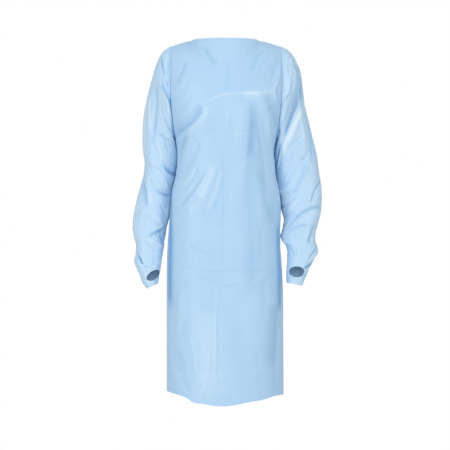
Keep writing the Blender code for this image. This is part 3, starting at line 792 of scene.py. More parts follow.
gownBack = {
    "flat": (0.32, 1.14),
    "area": 0.325,
    "overlap": 0.15,
    "pastColumns": 11,
    "ramp": 0.30,  # where the outer back starts to rise over the inner one
    "rise": 2.3,
    "edgeRim": {"width": 5, "share": 0.6},
    "crinkles": (23, 110, (-230, 230, -1100, -60), (60, 220), (10, 30), (0.3, 1.1)),
    "hemWave": [
        (-1, -3), (-0.8, 4), (-0.58, 8), (-0.4, 1), (-0.24, 5), (0, 6), (0.18, 2), (0.36, 7),
        (0.6, 1), (0.8, 5), (1, -3),
    ],
    "creases": [
        (-3.0, 14, 22, -60, -60, -20, -110, 0, -130),
        (-3.0, 22, 14, 64, -58, 24, -112, 4, -134),
        (2.4, 18, 22, -96, -80, -60, -150, -52, -230),
        (2.4, 22, 18, 104, -76, 70, -150, 60, -240),
        (-3.4, 24, 18, -150, -120, -128, -220, -140, -330),
        (-3.4, 18, 24, 158, -130, 134, -230, 148, -340),
        (3.2, 26, 18, -120, -140, -100, -260, -84, -390),
        (3.4, 18, 26, 118, -150, 102, -270, 82, -400),
        (-2.6, 16, 20, -40, -200, -30, -300, -44, -400),
        (2.4, 20, 16, 30, -180, 36, -290, 24, -400),
        (-3.8, 14, 12, -150, -400, -90, -416, -20, -420),
        (3.6, 16, 12, -160, -450, -90, -444, -24, -436),
        (-3.8, 12, 14, 160, -396, 96, -412, 22, -418),
        (3.6, 12, 16, 168, -452, 90, -446, 24, -436),
        (4.0, 14, 14, -30, -440, -60, -500, -80, -600),
        (-4.0, 14, 14, -14, -446, -34, -520, -44, -640),
        (4.2, 14, 14, 34, -442, 62, -510, 84, -610),
        (-4.0, 14, 14, 60, -444, 96, -500, 130, -580),
        (-3.6, 16, 14, -60, -446, -104, -510, -140, -590),
        (3.2, 16, 16, -100, -448, -140, -520, -170, -620),
        (3.0, 16, 16, 110, -448, 148, -520, 180, -640),
        (3.4, 26, 22, -110, -640, -116, -860, -124, -1140),
        (-3.6, 22, 26, -60, -660, -70, -880, -66, -1150),
        (3.2, 26, 22, 60, -650, 66, -860, 62, -1150),
        (-3.6, 22, 28, 120, -640, 126, -880, 130, -1140),
        (-3.2, 26, 22, -180, -620, -190, -860, -184, -1140),
        (2.6, 22, 24, 190, -640, 184, -860, 188, -1140),
        (2.6, 20, 20, 0, -760, 6, -940, 4, -1160),
        (1.6, 10, 16, -220, -760, 0, -768, 210, -756),
        (1.6, 10, 16, -200, -258, 0, -262, 200, -256),
    ],
}


def backPanel(side, name, rise):
    # a back half with its share past the middle; the outer one rises over the inner one, and
    # both take the same creases, so that they stay apart
    past = -np.linspace(gownBack["overlap"], 0, gownBack["pastColumns"] + 1)[:-1]
    q = np.concatenate([past, columns])
    base = panelGrid(q, side, -1, gownBack["hemWave"])
    outward = gridNormals(base) * side
    u = acrossCloth(base, len(past)) * side
    gap = np.abs(u[:, -1:] - u)
    lift = rise * ease((gownBack["ramp"] - q) / (gownBack["ramp"] - gownBack["overlap"]))
    points, paint = creasePanel(base, outward, u, gap, backCreases, lift[None, :])
    edge = np.abs(u - u[:, :1])
    rim = np.clip(1 - edge / gownBack["edgeRim"]["width"], 0, 1) * gownBack["edgeRim"]["share"]
    paint["rim"] = np.maximum(paint["rim"], rim)
    node = "back_" + sideNames[side]
    sealedPanel(name, points, outward, paint, node)
    return points, outward


sideNames = {1: "left", -1: "right"}
backCreases = gownBack["creases"] + crinkles(*gownBack["crinkles"])
backLeft, backLeftOut = backPanel(1, "filmBackLeft", gownBack["rise"])
backRight, backRightOut = backPanel(-1, "filmBackRight", 0.0)
print("backs ready")

sleeveLeft = {
    "side": 1,
    "flat": (0.70, 0.81),
    "area": 0.25,
    "thumb": {"at": (224, -48, -733), "half": (24, 17), "lean": 0, "turn": 0},
    # ring, outer x and z, inner x and z, half depth, middle y
    "rings": [
        (0, 180, -16, 165, -312, 68, 2),
        (1, 206, -31, 167.5, -317, 68, 2),
        (2, 229, -63, 164.5, -329, 68, 6),
        (3, 243, -100, 160.5, -346, 67, 13),
        (4, 250, -147, 159, -369, 66, 21),
        (5, 256, -197, 160.5, -394, 65, 28),
        (6, 267, -241, 163, -419, 64, 32),
        (7, 279, -291, 164.5, -447, 63, 34),
        (8, 290, -334, 168.8, -472, 63, 34),
        (9, 298, -375, 174, -497, 63, 32),
        (10, 303, -416, 178.2, -524, 63, 29),
        (11, 309, -453, 182.5, -544, 62, 25),
        (12, 311, -491, 189, -566, 61, 19),
        (13, 310, -522, 187, -587, 59, 11),
        (14, 306, -550, 182, -606, 57, 2),
        (15, 297, -581, 177.5, -619, 54, -8),
        (16, 289, -609, 181, -636, 50, -17),
        (17, 287, -636, 193, -653, 47, -25),
        (18, 293, -656, 197, -672, 44, -31),
        (19, 294, -674, 197, -691, 41, -37),
        (20, 282, -693, 196, -710, 39, -43),
        (21, 268, -718, 194, -731, 38, -48),
        (22, 256, -747, 193, -750, 37, -52),
        (23, 243, -777, 193, -768, 36, -55),
    ],
    "creaseRise": 1.4,
    # one broad swell, laid out as the front's creases are but with its points in cloth
    # coordinates
    "swells": [
        (5.0, 52, 52, -208, 30, -188, -50, -172, -90, -156, -120, -146, -165, -138, -230),
    ],
    # laid out as the front's creases are
    "creases": [
        # cap: seam folds
        (-2.4, 7, 7, 283.4, 56, 284, 66, 284, 73),
        (2.6, 8, 7, 286.6, 62, 286.6, 74, 286, 82),
        (3.2, 13, 5, 291, 70, 290, 84, 288, 94, 283.5, 100, 281.6, 110, 279, 120),
        (2.2, 6, 8, 291, 56, 291, 66, 290.5, 78),
        (-4.8, 24, 5, 293, 56, 297, 68, 300, 81, 300.6, 92, 300.2, 103),
        (2.2, 8, 8, 294, 64, 295, 80, 293, 96),
        # underarm diagonal and the bright plateau beside it
        (-4.8, 40, 11, 301, 99, 296, 110, 291.6, 120, 288, 129, 282.6, 141),
        (2.8, 14, 40, 304, 106, 299, 117, 294, 130, 287, 144),
        (-3.0, 9, 8, 285, 100, 282, 110, 279.6, 120),
        (-3.4, 10, 9, 278, 124, 279.4, 132, 280, 138),
        (-2.0, 14, 14, 290, 104, 287, 116, 283, 128),
        # deep fold beside the front panel, below the underarm
        (-1.6, 12, 11, 284, 139, 283, 147, 281.4, 156, 280, 166, 278, 174),
        (3.2, 7, 22, 284.6, 138, 281.6, 149, 279, 159, 276.8, 171),
        # upper half
        (-3.2, 15, 14, 305, 104, 309, 128, 311.4, 146, 313, 168),
        (2.2, 22, 12, 300, 112, 304, 132, 306, 154),
        (-1.8, 10, 16, 302, 136, 294, 143, 286, 151),
        (-1.6, 12, 14, 296, 150, 292, 160, 286, 170),
        (-2.0, 8, 10, 309, 154, 304, 158, 300, 163),
        (2.8, 8, 10, 310, 159, 306, 172, 300, 186),
        (-1.9, 10, 13, 302, 161, 293, 174, 283, 188),
        (1.6, 10, 12, 296, 160, 287, 176, 281, 186),
        # bend
        (4.4, 15, 24, 277, 191.5, 287, 191, 298, 188),
        (-3.2, 8, 12, 278, 208, 284, 206.5, 290, 203),
        (2.8, 8, 9, 301, 188, 294, 200, 286, 213),
        (-2.6, 16, 10, 306, 188, 299, 198, 292, 210),
        (-3.8, 8, 9, 323, 179, 317, 187, 313, 195, 309, 207),
        (2.2, 10, 10, 309, 186, 307, 194, 303, 204),
        (2.4, 10, 9, 321, 190, 317, 198, 314, 205),
        # lower half
        (-4.4, 9, 9, 324, 207.5, 312, 207.5, 304.5, 210.5, 297, 215.5, 291, 221, 286, 229),
        (2.4, 9, 10, 318, 214, 306, 216, 297, 222),
        (-3.4, 8, 7, 310, 224, 300, 225.5, 293, 227.5, 285, 234),
        (3.2, 12, 9, 312, 219, 308.6, 233, 304.6, 247),
        (-3.0, 10, 12, 316, 222, 312, 233, 308, 245),
        (-2.2, 7, 6, 297, 226, 294.6, 234, 296.4, 241),
        (3.2, 6, 9, 278, 241.5, 286, 242.5, 295, 246),
        (-2.2, 9, 8, 287, 246, 291, 250, 293, 258),
        (2.0, 8, 10, 301, 236, 298, 247, 296, 258),
        # cuff
        (-3.4, 9, 6, 317, 245, 312.6, 254, 307, 261),
        (2.2, 6, 6, 318, 251, 314, 257, 308, 263),
        (-4.6, 6, 6, 302, 269.4, 308, 265.6, 313, 262.4),
        (-1.6, 8, 8, 301, 250, 302, 258, 300, 264),
    ],
    # painted shade (under 0) and painted highlight (over 0) along lines, with no height; laid out
    # as the creases are
    "paintedLightLines": [
        (-12, 14, 14, 281, 141, 279.4, 150, 278, 160, 276.2, 170),
        (-12, 6, 6, 278.6, 125, 278.6, 131, 279, 137),
        (-2.6, 14, 14, 282, 191, 283, 199, 282.6, 208),
        (-11, 4, 3, 300.2, 74, 301, 88, 300.8, 104),
        (-3.4, 26, 3, 299.8, 66, 300.6, 84, 300.4, 102),
        (8, 3, 6, 302.6, 74, 303.6, 90, 304, 106),
        (-5.4, 80, 3, 300, 102, 295, 113, 290, 125, 284.6, 139),
        (9, 3, 40, 301, 105, 296, 116, 291, 127.6, 285.6, 140, 281, 151),
        (-3.4, 8, 10, 296.4, 64, 297.4, 78, 297, 94),
        (5, 5, 5, 287.4, 70, 287.2, 82, 286, 92),
        (4, 4, 5, 292, 60, 292.4, 72, 291.6, 82),
        (-5, 6, 6, 281, 102, 280.4, 112, 279.2, 120),
        (3, 6, 6, 284.6, 98, 283.4, 106, 282, 114),
        (-3, 8, 22, 307, 116, 310.6, 138, 313, 160),
        (-3.6, 9, 4, 320.6, 180, 314.6, 190, 310, 204),
        (3.4, 12, 12, 303, 188, 297, 200, 288, 212),
        (-3.2, 16, 16, 306, 164, 300, 182, 292, 196),
        (-4.4, 5, 7, 322, 208.6, 311, 209, 302, 213, 292, 222),
        (-3.2, 4, 6, 310, 224.6, 300, 226, 288, 231),
        (3.2, 8, 5, 320, 214, 308, 217, 298, 223),
        (-3.8, 6, 10, 314, 224, 311, 234, 308.6, 243),
        (-5, 6, 4, 316, 247, 312, 254, 307, 261),
        (-9, 6, 4, 303.4, 269.6, 308, 266.6, 312, 263),
        (4, 5, 5, 318, 250, 314, 256, 310, 261),
        (9, 20, 14, 275, 171, 277, 181, 280, 191),
        (10, 16, 30, 282.4, 186, 283, 207, 285.4, 222, 282, 236, 286, 250),
        (5, 5, 30, 302, 62, 305.4, 84, 308, 104, 313, 128, 317, 152),
        (4, 20, 14, 323, 184, 325, 200, 324, 214, 318, 232),
    ],
}
sleeveRight = {
    "side": -1,
    "flat": (0.70, 0.81),
    "area": 0.235,
    "thumb": {"at": (-232, -48, -744), "half": (25, 13.5), "lean": 30, "turn": 15},
    "rings": [
        (0, -176, -16, -160, -312, 68, 2),
        (1, -202, -37, -161, -321, 68, 2),
        (2, -221, -75, -157, -334, 67, 6),
        (3, -236, -125, -154, -350, 66, 13),
        (4, -251, -178, -152.5, -369, 65, 21),
        (5, -262, -234, -153.5, -391, 63, 28),
        (6, -266, -291, -156.5, -414, 62, 32),
        (7, -266, -341, -160, -439, 61, 34),
        (8, -260, -384, -165.5, -464, 60, 34),
        (9, -262, -419, -170, -490, 60, 32),
        (10, -270, -453, -172.5, -518, 60, 29),
        (11, -281, -494, -176, -547, 60, 25),
        (12, -289, -531, -181, -572, 59, 19),
        (13, -294, -562, -186, -594, 57, 11),
        (14, -295, -594, -190.5, -616, 54, 2),
        (15, -291, -622, -194, -637, 51, -8),
        (16, -283, -650, -195, -658, 48, -17),
        (17, -283, -678, -198, -681, 45, -26),
        (18, -287, -702, -201, -700, 42, -33),
        (19, -280, -722, -203, -718, 40, -40),
        (20, -270, -743, -205, -736, 38, -46),
        (21, -262, -765, -208, -754, 37, -50),
        (22, -247, -787, -212, -771, 36, -54),
    ],
    "creaseRise": 1.6,
    # one broad swell, laid out as the front's creases are but with its points in cloth
    # coordinates
    "swells": [
        (4.5, 52, 52, 224, 30, 190, -50, 165, -76, 150, -112, 138, -152, 124, -205),
    ],
    # laid out as the front's creases are
    "creases": [
        # cap
        (-3.2, 7, 9, 160.6, 56, 161.6, 66, 163, 76, 160.6, 85),
        (2.2, 8, 8, 164.4, 60, 166.4, 70, 167, 80),
        (4.8, 26, 7, 159, 82, 164, 93, 168, 101, 172, 109),
        (-2.4, 8, 8, 165, 78, 168, 86, 171, 98),
        (2.0, 5, 4, 162, 77, 167.6, 84.6),
        (-2.4, 6, 7, 168, 52, 169, 62, 168, 74),
        # upper half
        (-3.2, 22, 18, 156, 78, 156.6, 104, 155, 121, 153, 140),
        (2.4, 16, 20, 149, 100, 149.6, 118, 150.4, 138),
        (4.0, 22, 6, 163, 109, 166.6, 120, 170, 129, 173, 137),
        (-2.0, 14, 10, 161, 104, 163, 118, 168, 132),
        (-2.6, 12, 11, 157, 133.5, 164, 139, 167, 150, 170.4, 159),
        (2.0, 9, 10, 161, 137, 170, 138, 173.6, 150),
        (-2.0, 16, 12, 151, 134, 154, 146, 159, 156),
        # planes at the bend
        (-4.8, 12, 30, 161, 164, 168, 171, 174, 174.4, 179, 176),
        (2.6, 12, 16, 149, 164, 157, 166, 163, 171),
        (-4.4, 8, 15, 155, 189, 163, 193.4, 172, 195.4),
        (2.8, 14, 14, 161, 178, 166, 182, 168, 190),
        (-2.2, 14, 14, 149, 174, 153.6, 185, 160, 194),
        (2.2, 10, 12, 147.4, 172, 149.4, 184, 151.4, 198),
        (-3.8, 12, 6, 143.6, 174, 145.4, 190, 148, 209),
        (-2.4, 10, 8, 141, 184, 142.4, 191, 141, 200),
        (2.8, 12, 12, 148.6, 206, 143, 212, 138, 218),
        (-1.8, 16, 10, 138, 217, 146, 217, 154, 214),
        (2.0, 16, 18, 151, 208, 157.6, 215.6, 163, 225),
        (-2.0, 18, 12, 158, 200, 164, 210, 168, 222),
        # folds above the cuff
        (3.6, 6, 13, 145, 236.4, 155, 230.4, 166, 225),
        (-3.4, 9, 5, 147, 238, 156, 233.4, 165, 228.6),
        (-3.0, 10, 8, 161.4, 228, 161, 237, 164, 247),
        (2.0, 8, 8, 154, 232, 156, 238, 158, 243),
        (3.0, 6, 8, 146, 236.6, 155, 242, 164, 249),
        (-2.2, 10, 7, 143, 238, 151, 246, 158, 253),
        (-1.6, 12, 14, 152, 252, 155, 260, 154, 270),
        # cuff
        (-4.8, 7, 6, 136.4, 252, 140, 259, 144.6, 266.4),
        (2.4, 8, 6, 134, 258, 138, 263, 142, 268),
        (-2.6, 5, 5, 141, 267, 148, 265.6, 154, 267.4),
        (-2.0, 8, 8, 139, 270, 142, 276, 146, 282),
    ],
    # painted shade (under 0) and painted highlight (over 0) along lines, with no height; laid out
    # as the creases are
    "paintedLightLines": [
        (-12, 6, 6, 171.6, 134, 173.6, 139, 176.4, 146),
        (-13, 5, 6, 170.4, 98, 171.6, 106, 172.6, 113),
        (-8, 5, 5, 173.4, 112, 174, 122, 173.4, 134),
        (-8, 6, 6, 177, 166, 176, 172, 174.4, 179),
        (-13, 6, 6, 170.8, 187, 170.8, 191, 171.2, 196),
        (-3.6, 40, 4, 162, 164.4, 170, 169.4, 176, 173.2),
        (-8, 3, 15, 160.6, 84, 165, 93, 169, 102, 172.6, 112),
        (6, 12, 3, 159.6, 87, 163.4, 97, 167, 105, 170.4, 113),
        (-6, 4, 5, 160.6, 57, 161.8, 67, 163.4, 76),
        (-4, 6, 6, 168.6, 60, 168.4, 72, 169, 86),
        (4, 5, 4, 163.6, 72, 163.4, 78, 165, 84),
        (-6, 4, 4, 165, 79.4, 166.8, 83, 168.4, 87),
        (-7, 10, 4, 165.6, 117, 169, 128, 172.4, 138),
        (4, 12, 8, 161.6, 112, 164.6, 122, 167, 132),
        (-3.6, 12, 14, 155.8, 82, 156.4, 100, 155.4, 120, 154.6, 140),
        (4.4, 12, 10, 150.4, 96, 149.6, 112, 149.6, 134),
        (-3.4, 5, 8, 161, 134.6, 168, 139, 171, 150),
        (3, 8, 12, 157, 142, 160, 152, 162, 160),
        (-5, 20, 3, 144, 175, 145.2, 190, 147.8, 208),
        (3.4, 5, 12, 147.6, 176, 149, 190, 151, 204),
        (-3.6, 16, 5, 155, 189, 163, 194, 171, 195.6),
        (-4.6, 8, 20, 160, 229, 161, 238, 162.6, 246),
        (-5, 8, 4, 149, 235, 157, 231, 165, 227),
        (3.4, 4, 6, 146, 238.6, 154, 242, 162, 247.6),
        (-8, 5, 4, 137, 252, 140, 258.6, 143.6, 265),
        (3, 4, 5, 140, 266.4, 148, 265, 156, 267),
        (9, 8, 20, 176.8, 147, 177, 157, 176.6, 166),
        (10, 26, 14, 175, 176, 171, 198, 168, 214, 166, 228),
        (4, 24, 14, 166, 246, 163, 256, 160, 266),
        (5, 30, 10, 158, 60, 152, 80, 147.6, 98, 145, 118, 144.4, 140, 145, 166),
        (3, 14, 24, 139, 200, 134.4, 214, 134, 228, 137, 244),
    ],
}
sleeveGrid = {
    "columns": 168,
    "rows": 270,
    "armholeRings": 4.0,  # rings over which a sleeve eases out of the armhole's shape
    "seamFade": 10.0,
    "square": 0.86,  # power of its sections' cosine and sine, 1 for an ellipse
    "pale": 0.17,  # painted highlight over the whole sleeve, so that it reads paler, as if more light came through it
    # fold painting sits higher on the sleeves, which paints them paler
    "foldMiddle": 0.55,
    "crinkles": {"count": 170, "long": (30, 120), "wide": (6, 16), "height": (0.4, 1.6)},
    "crinkleFrom": -30,
    "rimWidth": 4,
}


def armholeLoop(turns, side):
    # the armhole seam, from the shoulder round the front to the underarm and up the back
    tip, under = gownBody["shoulderTipZ"], gownBody["underarmZ"]
    z = tip + (under - tip) * (1 - np.cos(turns)) / 2
    one = np.ones_like(z)
    front = np.stack([*bodyAt(one, z, side, 1), z], axis=-1)
    back = np.stack([*bodyAt(one, z, side, -1), z], axis=-1)
    return np.where(np.sin(turns)[..., None] >= 0, front, back)


def sleeveBase(plan):
    # Rounded rings between an outer and an inner point, easing out of the armhole's own shape.
    # Cloth coordinates: u from the front line, v from the armhole along the sleeve, under 0.
    side = plan["side"]
    at = np.linspace(0, plan["rings"][-1][0], sleeveGrid["rows"] + 1)[:, None]
    turns = np.linspace(0, 2 * np.pi, sleeveGrid["columns"] + 1)[None, :-1]
    outX, outZ, inX, inZ, deep, middle = np.moveaxis(smoothTable(plan["rings"], at), -1, 0)
    swing, depth = np.cos(turns), np.sin(turns)
    swing = np.sign(swing) * np.abs(swing) ** sleeveGrid["square"]
    depth = np.sign(depth) * np.abs(depth) ** sleeveGrid["square"]
    x = (outX + inX) / 2 + (outX - inX) / 2 * swing
    z = (outZ + inZ) / 2 + (outZ - inZ) / 2 * swing
    base = np.stack([x, middle - deep * depth, z], axis=-1)
    seam = armholeLoop(turns[0], side)
    base += (seam - base[0]) * (1 - ease(at / sleeveGrid["armholeRings"]))[..., None]
    front = sleeveGrid["columns"] // 4
    loop = np.concatenate([base, base[:, :1]], axis=1)
    u = -side * acrossCloth(loop, front)[:, :-1]
    girth = np.linalg.norm(np.diff(loop, axis=1), axis=-1).sum(1)[:, None]
    u = np.where(np.abs(u) > girth / 2, u - np.sign(u) * girth, u)
    middleLine = base.mean(1)
    v = -np.concatenate([[0], np.cumsum(np.linalg.norm(np.diff(middleLine, axis=0), axis=1))])
    v = np.broadcast_to(v[:, None], u.shape)
    return base, u, v, girth


def thumbHole(points, outward, thumb):
    # an oval cut seen along its own way in: quads inside it go, and their points left on the
    # edge move out onto the oval
    turn, lean = np.radians(thumb["turn"]), np.radians(thumb["lean"])
    level = np.array([np.cos(turn), np.sin(turn), 0])
    upright = np.array([0.0, 0.0, 1.0])
    long = np.cos(lean) * level + np.sin(lean) * upright
    short = -np.sin(lean) * level + np.cos(lean) * upright
    wayIn = np.array([np.sin(turn), -np.cos(turn), 0])
    off = points - np.array(thumb["at"], float)
    a, b = off @ long, off @ short
    radius = np.hypot(a / thumb["half"][0], b / thumb["half"][1])
    radius = np.where((outward @ wayIn > 0) & (off @ wayIn > 0), radius, 9.0)  # 9 is far outside
    inside = radius < 1
    ringed = np.concatenate([inside, inside[:, :1]], axis=1)
    gone = ringed[:-1, :-1] & ringed[1:, :-1] & ringed[:-1, 1:] & ringed[1:, 1:]
    stretch = np.where(inside, 1 / np.maximum(radius, 0.05) - 1, 0)
    moved = points + (a * stretch)[..., None] * long + (b * stretch)[..., None] * short
    return moved, ~gone, np.clip(1 - np.abs(radius - 1) / 0.3, 0, 1)


def makeSleeve(plan, name, nodes, seed):
    # base + outward * (creases - dip). A crease counts at u and at u a whole girth on, so that it
    # runs on past the back line.
    base, u, v, girth = sleeveBase(plan)
    outward = gridNormals(base, closed=True) * plan["side"]
    plain = sleeveGrid["crinkles"]
    box = (-girth.max() / 2, girth.max() / 2, v.min(), sleeveGrid["crinkleFrom"])
    cloth = (base, outward, u, v)
    creases = layOnCloth(plan["creases"], *cloth, plan["creaseRise"]) + plan["swells"]
    creases += crinkles(seed, plain["count"], box, plain["long"], plain["wide"], plain["height"])
    paintedLightLines = layOnCloth(plan["paintedLightLines"], *cloth)
    around = np.where(u > 0, u - girth, u + girth)
    height = creaseHeight(u, v, creases) + creaseHeight(around, v, creases)
    # painted shade and painted highlight along the listed lines, on both sides of the back line
    lightPainted = paintLight(u, v, paintedLightLines) + paintLight(around, v, paintedLightLines)
    height = height * ease(-v / sleeveGrid["seamFade"])
    points = base + outward * (height - seamDip(base[..., 2], -v))[..., None]
    outward = gridNormals(points, closed=True) * plan["side"]
    points, keep, rim = thumbHole(points, outward, plan["thumb"])
    paint = {
        "fold": foldPaint(height, sleeveGrid["foldMiddle"]),
        "paintedLight": lightPainted + sleeveGrid["pale"],
        "seal": sealPaint(-v),
        "rim": np.maximum(rim, np.clip(1 - (v - v.min()) / sleeveGrid["rimWidth"], 0, 1)),
    }
    made = filmShell(name, points, outward, gownBody["filmThickness"], True, paint, keep)
    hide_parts(*nodes)
    print(name, "ready")


makeSleeve(sleeveLeft, "filmSleeveLeft", ["sleeve_left", "cuff_left"], 5)
makeSleeve(sleeveRight, "filmSleeveRight", ["sleeve_right", "cuff_right"], 6)

waistTies = {
    "film": 0.5,
    "off": 0.5,  # from a tie to what it lies on
    "rows": (124.5, 130.6),  # rows of the back panel that a tie covers
    "reach": (0.965, 0.03),  # share of the half back where a tie starts, and where it is knotted
    "flat": (0.165, 0.027),
    "endFlat": {"left": (0.255, 0.028), "right": (0.218, 0.028)},
    # a free end: first and last row, how far it stands from the middle, and its sway, in columns
    "ends": {
        "left": {"rows": (129.0, 193.7), "middle": 2.8, "sway": 0.7, "turn": 0.4},
        "right": {"rows": (129.0, 184.0), "middle": -2.8, "sway": -0.6, "turn": 1.5},
    },
    "endHalf": 2.35,  # half width of a free end in columns
    "grid": (150, 170, 25),  # points along a tie, along a free end, and across both
    "gather": {"from": 0.7, "narrow": 0.5, "bulge": 2.4},  # where the knot gathers a tie
    "endTop": {"spread": 0.42, "bulge": 3.0},  # a free end where it leaves the knot
    "endSlack": 1.6,
    "foldFull": 3,
    "rim": {"width": 2.5, "share": 0.7},
    "seal": {"length": 9, "share": 0.8},
    # height, width on both sides, then along the tie from the seam and up across it
    "creases": [
        (0.9, 3, 5, 10, 5, 60, 3, 158, 1),
        (-0.8, 4, 3, 20, -5, 80, -4, 156, -2),
        (0.7, 3, 4, 4, -9, 50, -8, 120, -6),
        (-0.9, 5, 3, 70, 8, 120, 5, 158, 3),
        (0.8, 4, 4, 96, -8, 130, -5, 156, -3),
        (-0.6, 6, 6, 40, 12, 48, 0, 44, -12),
    ],
    # the same for a free end, downwards from the knot
    "endCreases": [
        (1.4, 5, 4, 2, 2, 60, 5, 140, 8),
        (-1.2, 4, 5, 4, -3, 50, -5, 110, -9),
        (0.9, 4, 6, 60, -2, 130, 1, 210, 4),
        (-0.9, 8, 6, 118, -14, 124, 0, 119, 14),
        (0.8, 7, 9, 176, 14, 182, 2, 176, -14),
    ],
    # knot: half sizes of its lump, pinch at its waist, half width and thickness of the wrap
    "knot": {
        "row": 127.5,
        "half": (18, 7.2, 13),
        "pinch": 0.34,
        "pinchWidth": 0.4,
        "pleats": ((0.055, 7, 2.2, 0), (0.035, 11, -3, 1)),  # depth, count, twist and start
        "wrap": (6.0, 1.5),
        "lean": 14,
        "grid": (61, 96, 41),  # points along the lump, round both, and round the wrap's band
    },
}


def onPanel(grid, rows, columns):
    # points of a panel's grid at fractional rows and columns, each mixed from its four neighbours
    top = np.clip(np.floor(rows).astype(int), 0, grid.shape[0] - 2)
    low = np.clip(np.floor(columns).astype(int), 0, grid.shape[1] - 2)
    down, along = (rows - top)[..., None], (columns - low)[..., None]
    upper = grid[top, low] * (1 - along) + grid[top, low + 1] * along
    lower = grid[top + 1, low] * (1 - along) + grid[top + 1, low + 1] * along
    return upper * (1 - down) + lower * down


def layTie(name, node, panel, rows, columns, lift, creases):
    # a strip on a panel: the panel's points, moved out by the gap, the film and the creases;
    # u runs along the strip and v across it
    grid, gridOut = panel
    seat, facing = onPanel(grid, rows, columns), unit(onPanel(gridOut, rows, columns))
    u = np.concatenate(
        [[0], np.cumsum(np.linalg.norm(np.diff(seat[:, seat.shape[1] // 2], axis=0), axis=-1))]
    )
    u = np.broadcast_to(u[:, None], rows.shape)
    v = acrossCloth(seat, seat.shape[1] // 2)
    height = creaseHeight(u, v, creases)
    least = height.min(axis=1, keepdims=True)
    off = waistTies["off"] + waistTies["film"] + lift + height - np.minimum(least, 0)
    points = seat + facing * off[..., None]
    edge = np.minimum(v - v[:, :1], v[:, -1:] - v)
    rim, seal = waistTies["rim"], waistTies["seal"]
    # fold paints shade in the tie's troughs and highlight on its crests
    paint = {
        "fold": np.clip(height / waistTies["foldFull"], -1, 1) * 0.5 + 0.5,
        "rim": np.clip(1 - edge / rim["width"], 0, 1) * rim["share"],
        "seal": np.clip(1 - u / seal["length"], 0, 1) * seal["share"],
    }
    made = filmShell(name, points, facing, waistTies["film"], paint=paint)
    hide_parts(node)
    return made


def makeTie(side, panel):
    # from the side seam to the knot, narrowing and bulging where the knot gathers it
    long, _, wide = waistTies["grid"]
    along, across = np.linspace(0, 1, long)[:, None], np.linspace(-1, 1, wide)[None, :]
    start, end = waistTies["reach"]
    gather = waistTies["gather"]
    gathered = ease((along - gather["from"]) / (1 - gather["from"]))
    top, bottom = waistTies["rows"]
    half = (bottom - top) / 2 * (1 - gather["narrow"] * gathered)
    rows = (top + bottom) / 2 + half * across
    q = start + (end - start) * along
    columns = gownBack["pastColumns"] + (q + 0 * across) * gownBody["halfColumns"]
    over = ease((gownBack["ramp"] - q) / (gownBack["ramp"] - gownBack["overlap"]))
    climb = (gownBack["rise"] if side == "right" else 0) * over
    bulge = gather["bulge"] * gathered * (1 - across**2)
    layTie(
        "filmTie" + side.title(), "tie_" + side, panel, rows, columns, climb + bulge,
        waistTies["creases"],
    )


def makeTieEnd(side, panel):
    # from under the knot down the outer back: gathered at the top, then swaying and standing
    # off a little in slow waves
    plan, top = waistTies["ends"][side], waistTies["endTop"]
    _, long, wide = waistTies["grid"]
    along, across = np.linspace(0, 1, long)[:, None], np.linspace(-1, 1, wide)[None, :]
    first, last = plan["rows"]
    spread = top["spread"] + (1 - top["spread"]) * ease(along / 0.3)
    sway = plan["sway"] * np.sin(2 * np.pi * along * 0.8 + plan["turn"]) * ease(along / 0.4)
    middle = plan["middle"] * (0.25 + 0.75 * ease(along / 0.35)) + sway
    columns = gownBack["pastColumns"] + middle + waistTies["endHalf"] * spread * across
    rows = first + (last - first) * along + 0.35 * across * along
    wave = 1 - np.cos(2 * np.pi * along * 1.3 + plan["turn"] * 0.4)
    slack = waistTies["endSlack"] * ease(along / 0.2) * wave
    bulge = top["bulge"] * (1 - ease(along / 0.25)) * (1 - across**2) + slack + 0 * across
    layTie(
        "filmTieEnd" + side.title(), "tie_end_" + side, panel, rows, columns, bulge,
        waistTies["endCreases"],
    )


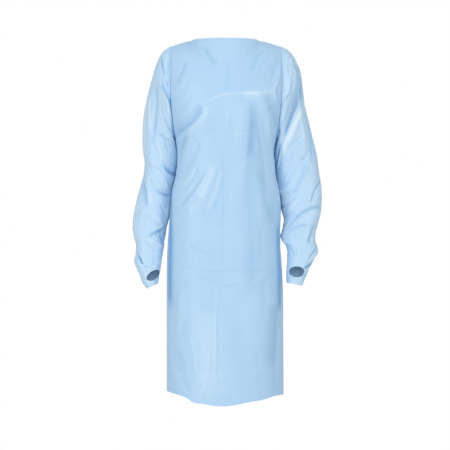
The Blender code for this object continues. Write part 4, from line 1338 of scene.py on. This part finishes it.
def makeKnot(panel):
    # Two closed surfaces. The lump is an ellipsoid along x whose section shrinks by a bell curve
    # at its waist and swells by sines for its pleats. The band is an oval tube round that waist.
    plan = waistTies["knot"]
    grid, gridOut = panel
    seat = onPanel(grid, np.array([plan["row"]]), np.array([float(gownBack["pastColumns"])]))[0]
    halfX, halfY, halfZ = plan["half"]
    alongCount, turnCount, bandCount = plan["grid"]
    across = np.linspace(-0.985, 0.985, alongCount)[:, None]
    turn = np.linspace(0, 2 * np.pi, turnCount + 1)[None, :-1]
    waist = 1 - plan["pinch"] * np.exp(-((across / plan["pinchWidth"]) ** 2))
    full = np.sqrt(np.clip(1 - across**2, 0, 1)) * waist
    pleats = 1 + sum(
        deep * np.sin(count * turn + twist * across + start)
        for deep, count, twist, start in plan["pleats"]
    )
    lump = np.stack(
        [
            halfX * across + 0 * turn,
            halfY * full * pleats * np.cos(turn),
            halfZ * full * pleats * np.sin(turn),
        ],
        axis=-1,
    )
    halfWide, halfThick = plan["wrap"]
    around = np.linspace(0, 2 * np.pi, bandCount)[:, None]
    band = 1 + 0.06 * np.sin(5 * turn + 0.7)
    ringY = halfY - halfThick + halfThick * np.cos(around)
    ringZ = halfZ * 0.78 - halfThick + halfThick * np.cos(around)
    wrap = np.stack(
        [
            halfWide * band * np.sin(around) + 0.8 * np.sin(2 * turn),
            ringY * np.cos(turn),
            ringZ * np.sin(turn),
        ],
        axis=-1,
    )
    lean = np.radians(plan["lean"])
    turned = np.array(
        [[np.cos(lean), 0, -np.sin(lean)], [0, 1, 0], [np.sin(lean), 0, np.cos(lean)]]
    )
    centre = seat + np.array([0, waistTies["off"] + halfY + 0.6, 0])
    skins = [lump @ turned + centre, wrap @ turned + centre]
    corners, faces, first = np.concatenate([skin.reshape(-1, 3) for skin in skins]), [], 0
    for skin, closed in zip(skins, (False, True)):
        rows, columns = skin.shape[:2]
        index = first + np.arange(rows * columns).reshape(rows, columns)
        nextRow = np.roll(index, -1, axis=0) if closed else index[1:]
        here = index if closed else index[:-1]
        quads = np.stack([here, nextRow, np.roll(nextRow, -1, 1), np.roll(here, -1, 1)], axis=-1)
        faces += quads.reshape(-1, 4).tolist()
        if not closed:
            faces += [index[0].tolist(), index[-1, ::-1].tolist()]
        first += rows * columns
    mesh = bpy.data.meshes.new("filmKnot")
    mesh.from_pydata((corners * mm).tolist(), [], faces)
    mesh.polygons.foreach_set("use_smooth", np.ones(len(faces), bool))
    for label, value in (("fold", 0.5), ("seal", 0.0), ("rim", 0.1)):
        field = np.full(len(corners), value, np.float32)
        mesh.attributes.new(label, "FLOAT", "POINT").data.foreach_set("value", field)
    mesh.materials.append(film)
    knot = bpy.data.objects.new("filmKnot", mesh)
    bpy.context.scene.collection.objects.link(knot)
    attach(knot, "root")
    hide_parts("tie_knot")


outerBack, innerBack = (backLeft, backLeftOut), (backRight, backRightOut)
makeTie("left", outerBack)
makeTie("right", innerBack)
makeTieEnd("left", outerBack)
makeTieEnd("right", outerBack)
makeKnot(outerBack)
print("ties ready, gown finished")
